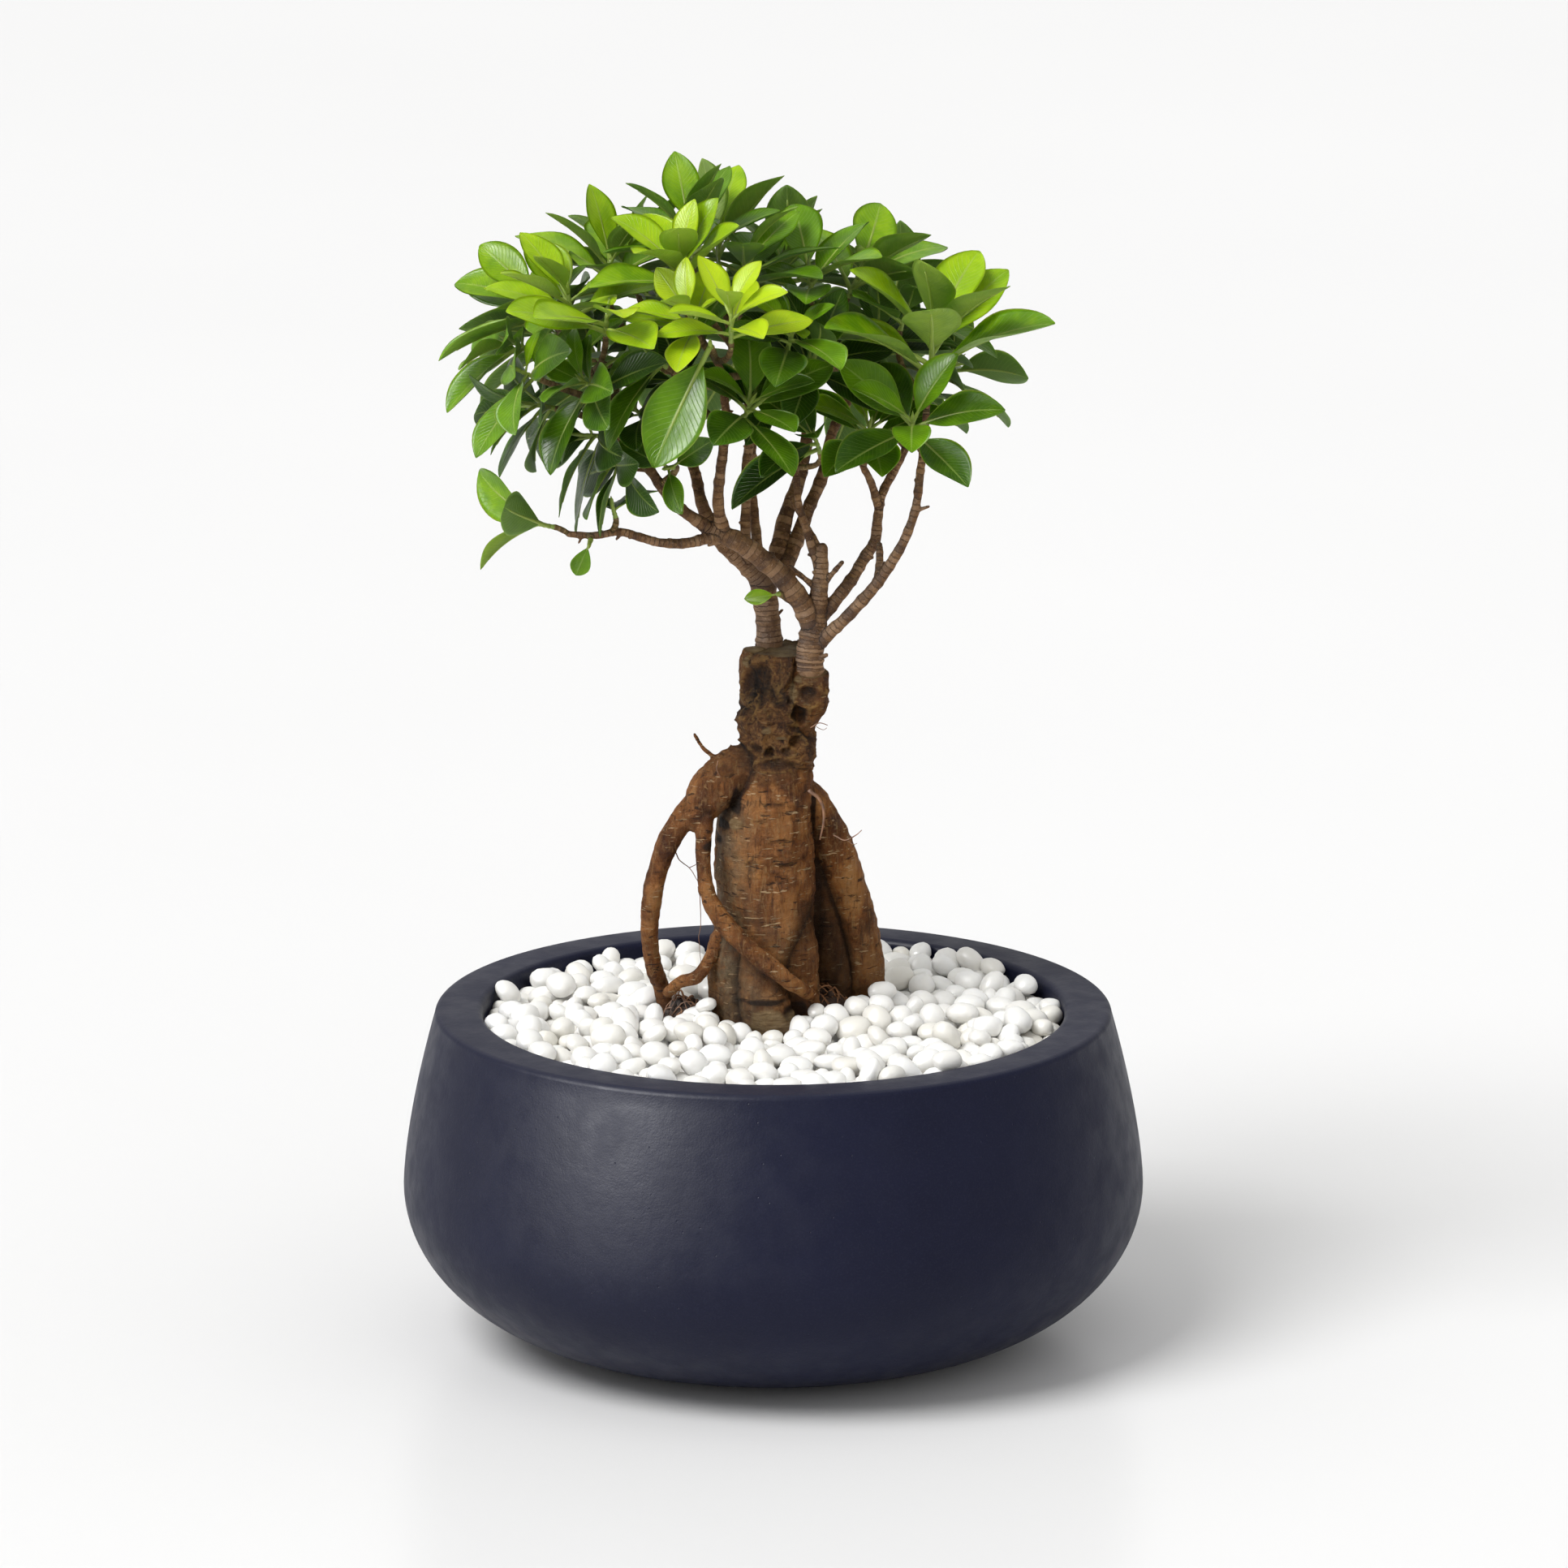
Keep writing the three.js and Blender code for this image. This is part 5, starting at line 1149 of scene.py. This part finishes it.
class AddRootstock(bpy.types.Operator):
    """Grow the swollen trunk and its roots as one skin, then wrinkle and scar it"""

    bl_idname = "bonsai.add_rootstock"
    bl_label = "Add Rootstock"

    def execute(self, context):
        tree = context.scene.bonsai_tree
        parts = []
        for name, limb in ROOTSTOCK.items():
            points, radii = spine(limb, 8)
            flat_top = name in ("bulb", "stump_left", "stump_right")
            points, radii = rounded_ends(points, radii, end=not flat_top)
            parts.append(tube(points, radii, 40 if radii.max() > 8 else 24))
        material = root_bark()
        piece = fused("trunk_and_roots", parts, tree.root_voxel / MM, 8, material)
        mesh = piece.data
        vertices, normals = vertices_of(mesh), normals_of(mesh)
        nearest = Nearest(ROOTSTOCK.values())
        at, crease = nearest.at(vertices)
        radius = nearest.radii[at]
        thick = np.clip((radius - 4) / 8, 0, 1)
        neck = np.clip((vertices[:, 2] + 5 * wobble(vertices, 7, 12) - 210) / 14, 0, 1) * thick
        foot = np.clip((150 - vertices[:, 2]) / 25, 0, 1) * thick
        along = nearest.along[at]
        limb = nearest.limb[at]
        burred = vertices + 1.2 * np.stack([wobble(vertices, 4, 30 + k) for k in range(3)], axis=1)
        rise = np.zeros(len(vertices))
        lumps = 1.2 * wobble(vertices, 17, 1) + 0.9 * wobble(vertices, 7.5, 2)
        rise += thick * (lumps + 0.45 * ridges(burred * (1, 1, 0.5), 5, 14))
        rise += (1 - thick) * 0.12 * radius * wobble(vertices, 9, 3)
        burrs = 1.9 * wobble(burred, 6.5, 4) + 1.9 * ridges(burred, 5, 5) + 0.7 * ridges(burred, 2.6, 6)
        rise += neck * (burrs - 1.1)
        flute = vertices * (1, 1, 0.22)
        rise += foot * (1.3 * wobble(flute, 5, 6) + 0.5 * wobble(flute, 2.2, 7))
        wrinkle = burred * (0.3, 0.3, 1)
        rise += (0.45 + 0.3 * neck) * wobble(wrinkle, 1.9, 8) * (0.4 + 0.6 * thick)
        bands = np.sin(along * 2 * math.pi / (5.5 + 2 * wobble(np.stack([limb, limb, limb], 1), 0.7, 9)))
        rise += (1 - thick) * 0.12 * np.clip(bands, 0, 1) ** 2 * radius / 3
        marks = np.zeros((len(vertices), 3))
        for number, (x, z, half_width, half_height, deep, lip_share) in enumerate(WOUNDS):
            far = front_of(x, z, half_width, half_height, vertices, 0.32, number + 40)
            hollow = np.clip((1.0 - far) * 2.6, 0, 1)
            lip = np.clip(1 - np.abs(far - 1.14) * 4, 0, 1) * lip_share
            rise += 0.9 * lip - deep * hollow
            # A deeper hollow is marked darker: painted shade over the wound's dark wood.
            marks[:, 0] = np.maximum(marks[:, 0], hollow * min(1, 0.35 + deep / 1.5))
            marks[:, 1] = np.maximum(marks[:, 1], lip)
        for number, (x, z, half_width, half_height) in enumerate(PALE_SPOTS):
            far = front_of(x, z, half_width, half_height, vertices, 0.3, number + 60)
            spot = np.clip((1.0 - far) * 3, 0, 1)
            rise += 0.7 * spot
            marks[:, 2] = np.maximum(marks[:, 2], 0.85 * spot)
        top = np.clip((normals[:, 2] - 0.75) * 6, 0, 1) * (vertices[:, 2] > 250)
        marks[:, 2] = np.maximum(marks[:, 2], top * 0.85)
        rise *= 1 - 0.8 * top
        rise -= 1.0 * crease * thick
        move_vertices(mesh, vertices + normals * rise[:, None])
        # Painted shade: the web's faces that turn away from the front, deep in the recess between the bulb and the
        # leg.
        web_recess_shade = (limb == list(ROOTSTOCK).index("web")) * (normals[:, 1] < 0.4)
        low_left = np.clip((168 - vertices[:, 2]) / 40, 0, 1) * np.clip((14 - vertices[:, 0]) / 20, 0, 1)
        leg = (vertices[:, 0] > 16) * np.clip((175 - vertices[:, 2]) / 40, 0, 1)
        left_edge = np.clip((-6 - vertices[:, 0]) / 9, 0, 1) * (vertices[:, 0] > -21) * (vertices[:, 2] < 205)
        add_vectors(mesh, "marks", marks)
        grey = 0.8 * low_left * thick + 0.45 * leg * thick + 0.75 * left_edge * thick + 0.15 * neck
        add_values(mesh, "grey", np.clip(grey, 0, 1))
        # Painted shade in the gaps where limbs meet; it joins the creases and the web's recess in the crease value,
        # which the bark darkens.
        gap = np.zeros(len(vertices))
        for number, (x, z, half_width, half_height) in enumerate(DARK_GAPS):
            reach = front_of(x, z, half_width, half_height, vertices, 0.2, number + 80)
            gap = np.maximum(gap, np.clip((1.1 - reach) * 3, 0, 1))
        add_values(mesh, "crease", np.clip(crease * thick + 0.8 * web_recess_shade + gap, 0, 1))
        add_values(mesh, "rough", np.clip(neck + 0.45 * foot, 0, 1))
        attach(piece, "root")
        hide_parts("rootstock")
        strands = []
        for route, radius in HAIRS:
            points, radii = spine([(*point, radius * (1 - 0.2 * k)) for k, point in enumerate(route)], 6)
            strands.append(tube(points + 0.35 * wobble(points, 3)[:, None], np.clip(radii, 0.1, None), 8))
        hairs = new_piece("hair_roots", *gathered(strands), root_fibre())
        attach(hairs, "root")
        return {"FINISHED"}


# ------------------------------------------------------------------------------------------------ shoots and leaves


class Shoot:
    """A leafy shoot: where it starts, which way it grows, and the leaves that found room on it."""

    def __init__(self, name, number, spec):
        self.name, self.number = name, number
        self.base, aim, self.stem, self.leaves, self.leaf, self.turn, self.open, self.ripe = spec
        self.base = np.array(self.base, float)
        self.aim = unit(np.array(aim, float))
        across = np.array([0, 1.0, 0]) if abs(self.aim[0]) > 0.8 else np.array([1.0, 0, 0])
        self.across = unit(across - self.aim * across.dot(self.aim))
        self.other = np.cross(self.aim, self.across)
        self.grown = []


def twig_to(shoot, limbs):
    """The twig from the nearest limb to a shoot's base: the scion's name, points and radii."""
    best = None
    for scion, points, radii in limbs:
        climb = shoot.base[2] - points[:, 2]
        cost = np.linalg.norm(points - shoot.base, axis=1)
        cost = cost + 2 * np.clip(8 - climb, 0, None) * (1 if shoot.aim[2] > 0 else 0.4)
        k = int(cost.argmin())
        if best is None or cost[k] < best[0]:
            best = cost[k], scion, points[k], radii[k]
    _, scion, start, radius = best
    span = np.linalg.norm(start - shoot.base)
    control = shoot.base - shoot.aim * 0.45 * span

    def route(steps):
        t = np.linspace(0, 1, steps + 1)[:, None]
        points = (1 - t) ** 2 * start + 2 * (1 - t) * t * control + t**2 * shoot.base
        return points, min(1.3, radius * 0.9) + (0.95 - min(1.3, radius * 0.9)) * t[:, 0]

    return scion, route, max(2, int(math.floor(span / 12 + 0.5)))


def blade_shape(t):
    """Half width of a blade at a share of its length, as a share of its widest half width."""
    inner = np.clip(t, 1e-9, 1 - 1e-9)
    width = np.sin(math.pi * inner) ** (0.95 - 0.12 * inner) * (0.88 + 0.24 * inner)
    return np.where((t <= 0) | (t >= 1), 0.0, width)


def leaf_points(tree, leaf, t, s, lift=0.0):
    """Points of a leaf's middle surface: t runs from the blade's foot to its tip, and s from edge to edge."""
    t, s = np.asarray(t, float), np.asarray(s, float)
    petiole = tree.petiole * leaf["length"]
    whole = petiole + leaf["length"]
    turn = leaf["bend"] * (petiole + t * leaf["length"]) / whole
    reach = whole * np.sin(turn) / leaf["bend"]
    drop = whole * (1 - np.cos(turn)) / leaf["bend"]
    facing = leaf["out"] * np.sin(turn)[:, None] + leaf["up"] * np.cos(turn)[:, None]
    roll = leaf["twist"] * t
    side = leaf["side"] * np.cos(roll)[:, None] + facing * np.sin(roll)[:, None]
    facing = facing * np.cos(roll)[:, None] - leaf["side"] * np.sin(roll)[:, None]
    half = 0.5 * tree.leaf_width * leaf["length"] * blade_shape(t)
    points = leaf["foot"] + leaf["out"] * reach[:, None] - leaf["up"] * drop[:, None]
    return points + side * (half * s)[:, None] + facing * (half * leaf["cup"] * s**2 + lift)[:, None]


def leaf_samples(tree, leaf):
    """Points over a leaf and its stalk, for keeping leaves apart, and how far along the leaf each one is."""
    spacing = 1.9
    rows = math.ceil(leaf["length"] / spacing)
    shares = np.arange(-math.floor(tree.petiole * rows), rows + 1) / rows
    halves = 0.5 * tree.leaf_width * leaf["length"] * blade_shape(shares)
    columns = np.ceil(halves / spacing).astype(int)
    t = np.repeat(shares, 2 * columns + 1)
    s = np.concatenate([np.arange(-c, c + 1) / max(1, c) for c in columns])
    return leaf_points(tree, leaf, t, s), t


def leaf_on(shoot, i, size, lean, swing):
    """A shoot's leaf: its foot on the stem and how it spreads, for one try at finding room."""
    number, alone = shoot.number, shoot.leaves == 1
    along = (i + 0.5) / shoot.leaves
    spread = shoot.open if alone else shoot.open * (1 - along) ** SETTING["open_fade"] + SETTING["tip_open"]
    angle = math.radians(spread + SETTING["open_scatter"] * (chance(number, i) - 0.5) + lean)
    turn = math.radians(shoot.turn + SETTING["spiral"] * i + swing)
    radial = shoot.across * math.cos(turn) + shoot.other * math.sin(turn)
    drawn = SETTING["least_length"] + SETTING["length_scatter"] * chance(number, i + 40)
    share = 1 if alone else (1 - SETTING["tip_shrink"] * along * along) * drawn
    out = shoot.aim * math.cos(angle) + radial * math.sin(angle)
    up = shoot.aim * math.sin(angle) - radial * math.cos(angle)
    bend = SETTING["bend"] + SETTING["bend_scatter"] * chance(number, i + 80) + SETTING["bend_ripe"] * shoot.ripe
    return {
        "foot": shoot.base
        + shoot.aim * shoot.stem * (SETTING["lowest_foot"] + (1 - SETTING["lowest_foot"]) * along),
        "out": out,
        "up": up,
        "side": np.cross(up, out),
        "length": shoot.leaf * share * size,
        "bend": math.radians(bend),
        "cup": SETTING["cup"] + SETTING["cup_scatter"] * chance(number, i + 120),
        "twist": math.radians(SETTING["twist_scatter"] * (chance(number, i + 160) - 0.5)),
        "ripe": shoot.ripe + 0.08 - 0.22 * along + 0.16 * (chance(number, i + 200) - 0.5),
    }


NUDGES = [
    (size, lean, swing)
    for size in (1, 0.86, 0.72, 0.58)
    for lean in (0, -12, 12, -24, 24)
    for swing in (0, 16, -16, 32, -32)
]
FOOT_SHARE = 0.34  # the part of a leaf, from its foot, that may come close to its neighbours on the stem


def bark_points(points, radii):
    """Points along a stem or limb, close together, for keeping leaves off it."""
    spots, sizes = [], []
    for a, b, start, end in zip(points[:-1], points[1:], radii[:-1], radii[1:]):
        count = max(1, math.ceil(np.linalg.norm(b - a) / 1.5))
        share = (np.arange(count) + 1)[:, None] / count
        spots.append(a + (b - a) * share)
        sizes.append(start + (end - start) * share[:, 0])
    return np.vstack(spots), np.concatenate(sizes)


class Crowd:
    """Clusters of points that leaves keep clear of: each leaf, limb or stem is one cluster with its own room."""

    def __init__(self):
        self.middles, self.reaches, self.clusters = [], [], []

    def add(self, points, t, rooms, owner, excuse_all=False):
        """Adds a cluster. Its owner's leaves may come near it at their feet, or anywhere if excuse_all is set."""
        middle, reach = ball_round(points)
        self.middles.append(middle)
        self.reaches.append(reach + np.max(rooms))
        self.clusters.append((points, t, np.broadcast_to(rooms, len(points)) ** 2, owner, excuse_all))

    def has_room(self, points, t, owner):
        middle, reach = ball_round(points)
        far = np.linalg.norm(np.array(self.middles) - middle, axis=1)
        for k in np.argsort(far - self.reaches):
            if far[k] > reach + self.reaches[k]:
                return True
            others, other_t, rooms, other_owner, excuse_all = self.clusters[k]
            if other_owner == owner and excuse_all:
                continue
            gaps = (points**2).sum(1)[:, None] + (others**2).sum(1)[None] - 2 * points @ others.T
            near = gaps < rooms[None]
            if other_owner == owner:
                near &= ~((t[:, None] < FOOT_SHARE) & (other_t[None] < FOOT_SHARE))
            if near.any():
                return False
        return True


def ball_round(points):
    middle = points.mean(axis=0)
    return middle, np.sqrt(((points - middle) ** 2).sum(axis=1).max())


def grow_tree(tree):
    """Every shoot with its twig and the leaves that found room, in the same order as the frame's."""
    shoots = [Shoot(name, number, spec) for number, (name, spec) in enumerate(SHOOTS.items())]
    limbs = [(scion, *spine(limb, 3)) for scion, table in SCIONS.items() for limb in table.values()]
    crowd, twigs = Crowd(), []

    def add_bark(points, radii, owner):
        spots, sizes = bark_points(points, radii)
        for start in range(0, len(spots), 8):  # short runs of a limb, so that few are near any one leaf
            part = slice(start, start + 8)
            crowd.add(spots[part], np.zeros(len(spots[part])), sizes[part] + tree.bark_room / MM, owner, True)

    for _, points, radii in limbs:
        add_bark(points, radii, -1)
    for shoot in shoots:
        scion, route, steps = twig_to(shoot, limbs)
        twigs.append((scion, route))
        stem = np.array([shoot.base + shoot.aim * 0.6, shoot.base + shoot.aim * shoot.stem])
        add_bark(*route(steps), shoot.number)
        add_bark(stem, np.array([0.95, 0.7]), shoot.number)
    for shoot in shoots:
        for i in range(shoot.leaves):
            for nudge in NUDGES:
                leaf = leaf_on(shoot, i, *nudge)
                points, t = leaf_samples(tree, leaf)
                if crowd.has_room(points, t, shoot.number):
                    crowd.add(points, t, tree.leaf_room / MM, shoot.number)
                    shoot.grown.append(leaf)
                    break
    return shoots, twigs


def leaf_mesh(tree, leaf, number):
    """A curved blade with a rounded edge, a sunk midrib and a petiole: vertices, faces and material values."""
    rows, columns = 16, 10
    half_thick = tree.leaf_thickness / MM / 2
    t = np.linspace(0, 1, rows + 1) ** 0.94
    s = np.linspace(-1, 1, columns + 1)
    grid_t, grid_s = (g.ravel() for g in np.meshgrid(t, s, indexing="ij"))
    inner = np.clip(grid_t, 0.012, 0.994)
    taper = np.sqrt(np.clip(1 - grid_s**2, 0, 1)) * np.clip(blade_shape(inner) * 2.5, 0.2, 1)
    groove = 0.035 * leaf["length"] / 3 * np.exp(-((grid_s / 0.10) ** 2)) * (1 - grid_t)
    wave = 0.014 * leaf["length"] * np.sin(grid_t * 9 + number) * grid_s**2 * np.sin(math.pi * grid_t)
    veins = np.sin((grid_t - 0.22 * np.abs(grid_s)) * 17 * 2 * math.pi)
    quilt = 0.12 * veins * (1 - grid_s**2) * (np.abs(grid_s) > 0.05)
    middle = wave - groove + quilt
    upper = leaf_points(tree, leaf, inner, grid_s, middle + half_thick * taper)
    lower = leaf_points(tree, leaf, inner, grid_s, middle - half_thick * taper)
    size = len(grid_t)
    faces = []
    for i in range(rows):
        for k in range(columns):
            a, b = i * (columns + 1) + k, i * (columns + 1) + k + 1
            c, d = b + columns + 1, a + columns + 1
            faces.append((a, b, c, d))
            faces.append((size + a, size + d, size + c, size + b))
    rim = [k for k in range(columns + 1)]
    rim += [i * (columns + 1) + columns for i in range(1, rows + 1)]
    rim += [rows * (columns + 1) + k for k in range(columns - 1, -1, -1)]
    rim += [i * (columns + 1) for i in range(rows - 1, 0, -1)]
    for a, b in zip(rim, rim[1:] + rim[:1]):
        faces.append((a, size + a, size + b, b))
    blade = np.stack([grid_s, grid_t, np.full(size, leaf["ripe"])], axis=1)
    stalk_t = np.linspace(-tree.petiole, 0.8, 15)
    stalk = leaf_points(tree, leaf, stalk_t, np.zeros(15), -half_thick * np.clip(stalk_t * 12, 0, 1) - 0.02)
    stalk_radii = 0.016 * leaf["length"] * np.clip(1.35 - 1.1 * np.clip(stalk_t + 0.1, 0, 1), 0.15, 1.3) + 0.12
    stalk_vertices, stalk_faces = tube(stalk, stalk_radii, 8)
    vertices, all_faces = gathered([(np.vstack([upper, lower]), faces), (stalk_vertices, stalk_faces)])
    values = {
        "blade": np.vstack([blade, blade, np.tile([0.0, 0.2, leaf["ripe"]], (len(stalk_vertices), 1))]),
        "under": np.concatenate([np.zeros(size), np.ones(size), np.full(len(stalk_vertices), 0.4)]),
        "stalk": np.concatenate([np.zeros(2 * size), np.ones(len(stalk_vertices))]),
    }
    return vertices, all_faces, values


class AddFoliage(bpy.types.Operator):
    """Grow the scions' branches and twigs, and every leaf in the place that the frame gives it"""

    bl_idname = "bonsai.add_foliage"
    bl_label = "Add Branches and Leaves"

    def execute(self, context):
        tree = context.scene.bonsai_tree
        shoots, twigs = grow_tree(tree)
        bark = branch_bark()
        for scion in SCIONS:
            self.add_scion(scion, tree, bark, [route for name, route in twigs if name == scion])
        leaf, stem = leaf_skin(), bud_skin()
        for shoot in shoots:
            node = "shoot_" + shoot.name
            piece = self.add_leaves(shoot, tree, leaf)
            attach(piece, "root")
            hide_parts(node)
            bud = self.add_stem(shoot, stem)
            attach(bud, "root")
        return {"FINISHED"}

    def add_scion(self, name, tree, material, routes):
        limbs = list(SCIONS[name].values())
        parts = []
        for number, limb in enumerate(limbs):
            points, radii = spine(limb, 7)
            wander = np.stack([wobble(points, 11, axis + number) for axis in range(3)], axis=1)
            points = points + wander * 0.5 * np.linspace(0, 1, len(points))[:, None] ** 0.5
            along = np.arange(len(points))
            knots = 1 + 0.13 * np.clip(np.sin(along * 1.35 + number), 0, 1) ** 3
            points, radii = rounded_ends(points, (radii + 0.12) * knots)
            parts.append(tube(points, radii, 18))
        for k, route in enumerate(routes):
            points, radii = route(12)
            knots = 1 + 0.16 * np.clip(np.sin(np.arange(13) * 1.7 + k), 0, 1) ** 3
            points, radii = rounded_ends(points, (radii + 0.14) * knots)
            parts.append(tube(points, radii, 14))
        parts += self.knobs(limbs, name)
        piece = fused(name + "_wood", parts, tree.limb_voxel / MM, 2, material)
        mesh = piece.data
        vertices, normals = vertices_of(mesh), normals_of(mesh)
        twig_tables = []
        for route in routes:
            points, radii = route(4)
            twig_tables.append(np.column_stack([points, radii]))
        nearest = Nearest(limbs + twig_tables, 5)
        at, crease = nearest.at(vertices)
        radius = nearest.radii[at]
        rise = 0.06 * radius * wobble(vertices, 5, 1)
        rise = rise + 0.10 * wobble(vertices, 2, 2) + 0.05 * wobble(vertices, 1, 3)
        move_vertices(mesh, vertices + normals * rise[:, None])
        is_twig = nearest.limb[at] >= len(limbs)
        limb = np.stack([nearest.along[at], np.where(is_twig, 0.25, 0.0), radius], axis=1)
        add_vectors(mesh, "limb", limb)
        # The crease value: how much painted shade the bark lays where branches meet.
        add_values(mesh, "crease", crease * np.clip(radius / 3, 0, 1))
        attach(piece, "root")
        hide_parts(name)

    def knobs(self, limbs, name):
        """Short dead stubs and leaf scars that stand out from the limbs."""
        chosen = np.random.default_rng(SEED + len(name))
        made = []
        for limb in limbs:
            points, radii = spine(limb, 6)
            for k in range(4, len(points) - 3, 5):
                if chosen.random() < 0.35:
                    continue
                ahead = unit(points[k + 1] - points[k])
                out = unit(np.cross(ahead, chosen.normal(size=3)))
                lean = unit(out + ahead * chosen.uniform(0.2, 0.9))
                length = radii[k] + chosen.choice([0.5, 0.8, 2.2, 4.0], p=[0.4, 0.3, 0.2, 0.1])
                ends = np.array([points[k], points[k] + lean * length * 0.6, points[k] + lean * length])
                thick = min(0.8, radii[k] * 0.5)
                made.append(tube(*rounded_ends(ends, np.array([thick * 1.3, thick, thick * 0.8])), 10))
        return made

    def add_leaves(self, shoot, tree, material):
        made = [leaf_mesh(tree, leaf, shoot.number * 9 + i) for i, leaf in enumerate(shoot.grown)]
        piece = new_piece("leaves_" + shoot.name, *gathered([(v, f) for v, f, _ in made]), material)
        add_vectors(piece.data, "blade", np.vstack([values["blade"] for _, _, values in made]))
        for key in ("under", "stalk"):
            add_values(piece.data, key, np.concatenate([values[key] for _, _, values in made]))
        return piece

    def add_stem(self, shoot, material):
        """The green stem with its leaf scars and the rolled bud at its tip."""
        tip = shoot.base + shoot.aim * shoot.stem
        share = np.linspace(-0.12, 1, 14)
        points = shoot.base + shoot.aim * shoot.stem * share[:, None]
        radii = (0.95 - 0.25 * np.clip(share, 0, 1)) * (1 + 0.12 * np.sin(share * 25))
        bud_share = np.linspace(0, 1, 12)
        bud_length = 0.11 * shoot.leaf + 2
        lean = unit(shoot.aim + 0.12 * shoot.across)
        bud = tip + lean * bud_length * bud_share[:, None]
        bud_radii = 0.72 * (1 - bud_share) ** 0.7 * (1 + 0.35 * np.sin(math.pi * bud_share)) + 0.03
        parts = [tube(*rounded_ends(points, radii, end=False), 12), tube(bud, bud_radii, 12)]
        return new_piece("stem_" + shoot.name, *gathered(parts), material)


# ------------------------------------------------------------------------------------------------ stage


FLOOR_REACH = 14000  # out to where the floor is lost in the sky


class SetStage(bpy.types.Operator):
    """Set the camera, the pale floor and the soft studio light"""

    bl_idname = "bonsai.set_stage"
    bl_label = "Set Stage"

    def execute(self, context):
        stage = context.scene.bonsai_stage
        aim = Vector((stage.aim_side, 0, stage.aim_height))
        back = Vector((0, -math.cos(stage.elevation), math.sin(stage.elevation)))
        camera = bpy.data.objects.new("camera", bpy.data.cameras.new("camera"))
        camera.data.lens = stage.lens
        camera.data.sensor_width = 36
        camera.data.clip_end = 50
        camera.location = aim + back * stage.distance
        camera.rotation_euler = (-back).to_track_quat("-Z", "Y").to_euler()
        context.collection.objects.link(camera)
        context.scene.camera = camera
        self.add_floor()
        self.add_sun("key", (-0.6, -0.5, 0.95), stage.key, 32)
        self.add_sun("fill", (0.9, -0.8, 0.7), stage.fill, 60)
        self.add_softbox("window", (-1.7, -1.3, 1.1), 1.1, stage.window)
        self.add_world(context)
        context.scene.view_settings.view_transform = "Standard"
        return {"FINISHED"}

    def add_floor(self):
        """A wide round floor whose far edge meets the pale sky."""
        steps = 64
        turns = [k * math.tau / steps for k in range(steps)]
        vertices = [(FLOOR_REACH * math.cos(turn), FLOOR_REACH * math.sin(turn), 0) for turn in turns]
        floor = new_piece("studio_floor", vertices, [tuple(range(steps))], studio_floor())

    def add_sun(self, name, towards, strength, spread):
        """Even light over the whole floor from a direction, with shadows as soft as its spread in degrees."""
        light = bpy.data.lights.new(name, "SUN")
        light.energy = strength
        light.angle = math.radians(spread)
        lamp = bpy.data.objects.new(name, light)
        lamp.rotation_euler = Vector(towards).to_track_quat("Z", "Y").to_euler()
        bpy.context.collection.objects.link(lamp)

    def add_softbox(self, name, place, size, power):
        """A square light that only shows as a sheen on what is glossy."""
        light = bpy.data.lights.new(name, "AREA")
        light.shape = "SQUARE"
        light.size = size
        light.energy = power
        lamp = bpy.data.objects.new(name, light)
        lamp.location = place
        lamp.visible_diffuse = False
        lamp.rotation_euler = (lamp.location - Vector((0, 0, 0.15))).to_track_quat("Z", "Y").to_euler()
        bpy.context.collection.objects.link(lamp)

    def add_world(self, context):
        """A studio sky: bright round the horizon and dimmer overhead."""
        world = bpy.data.worlds.new("studio")
        world.use_nodes = True
        tree = world.node_tree
        direction = tree.nodes.new("ShaderNodeTexCoord")
        parts = tree.nodes.new("ShaderNodeSeparateXYZ")
        dim = tree.nodes.new("ShaderNodeMapRange")
        dim.interpolation_type = "SMOOTHSTEP"
        for name, value in (("From Min", 0.12), ("From Max", 0.55), ("To Min", 0.67), ("To Max", 0.64)):
            dim.inputs[name].default_value = value
        tree.links.new(direction.outputs["Generated"], parts.inputs[0])
        tree.links.new(parts.outputs["Z"], dim.inputs["Value"])
        tree.links.new(dim.outputs[0], tree.nodes["Background"].inputs["Strength"])
        tree.nodes["Background"].inputs["Color"].default_value = (1.0, 0.995, 0.99, 1)
        context.scene.world = world


# ------------------------------------------------------------------------------------------------ add-on


class BonsaiPanel(bpy.types.Panel):
    """The bonsai's sizes and the buttons that build it"""

    bl_idname = "VIEW3D_PT_bonsai"
    bl_label = "Bonsai"
    bl_space_type = "VIEW_3D"
    bl_region_type = "UI"
    bl_category = "Bonsai"

    def draw(self, context):
        for settings in ("bonsai_bowl", "bonsai_dressing", "bonsai_tree", "bonsai_stage"):
            group = getattr(context.scene, settings)
            box = self.layout.box()
            for name in group.__annotations__:
                box.prop(group, name)
        for operator in OPERATORS:
            self.layout.operator(operator.bl_idname)


SETTINGS = {
    "bonsai_bowl": BowlSettings,
    "bonsai_dressing": DressingSettings,
    "bonsai_tree": TreeSettings,
    "bonsai_stage": StageSettings,
}
OPERATORS = (SetStage, AddBowl, AddSoil, AddPebbles, AddRootstock, AddFoliage)


def register():
    for cls in (*SETTINGS.values(), *OPERATORS, BonsaiPanel):
        bpy.utils.register_class(cls)
    for name, cls in SETTINGS.items():
        setattr(bpy.types.Scene, name, PointerProperty(type=cls))


def unregister():
    for name in SETTINGS:
        delattr(bpy.types.Scene, name)
    for cls in (BonsaiPanel, *reversed(OPERATORS), *SETTINGS.values()):
        bpy.utils.unregister_class(cls)


def main():
    register()
    bpy.ops.bonsai.set_stage()
    bpy.ops.bonsai.add_bowl()
    bpy.ops.bonsai.add_soil()
    bpy.ops.bonsai.add_pebbles()
    bpy.ops.bonsai.add_rootstock()
    bpy.ops.bonsai.add_foliage()


if __name__ == "__main__":
    main()
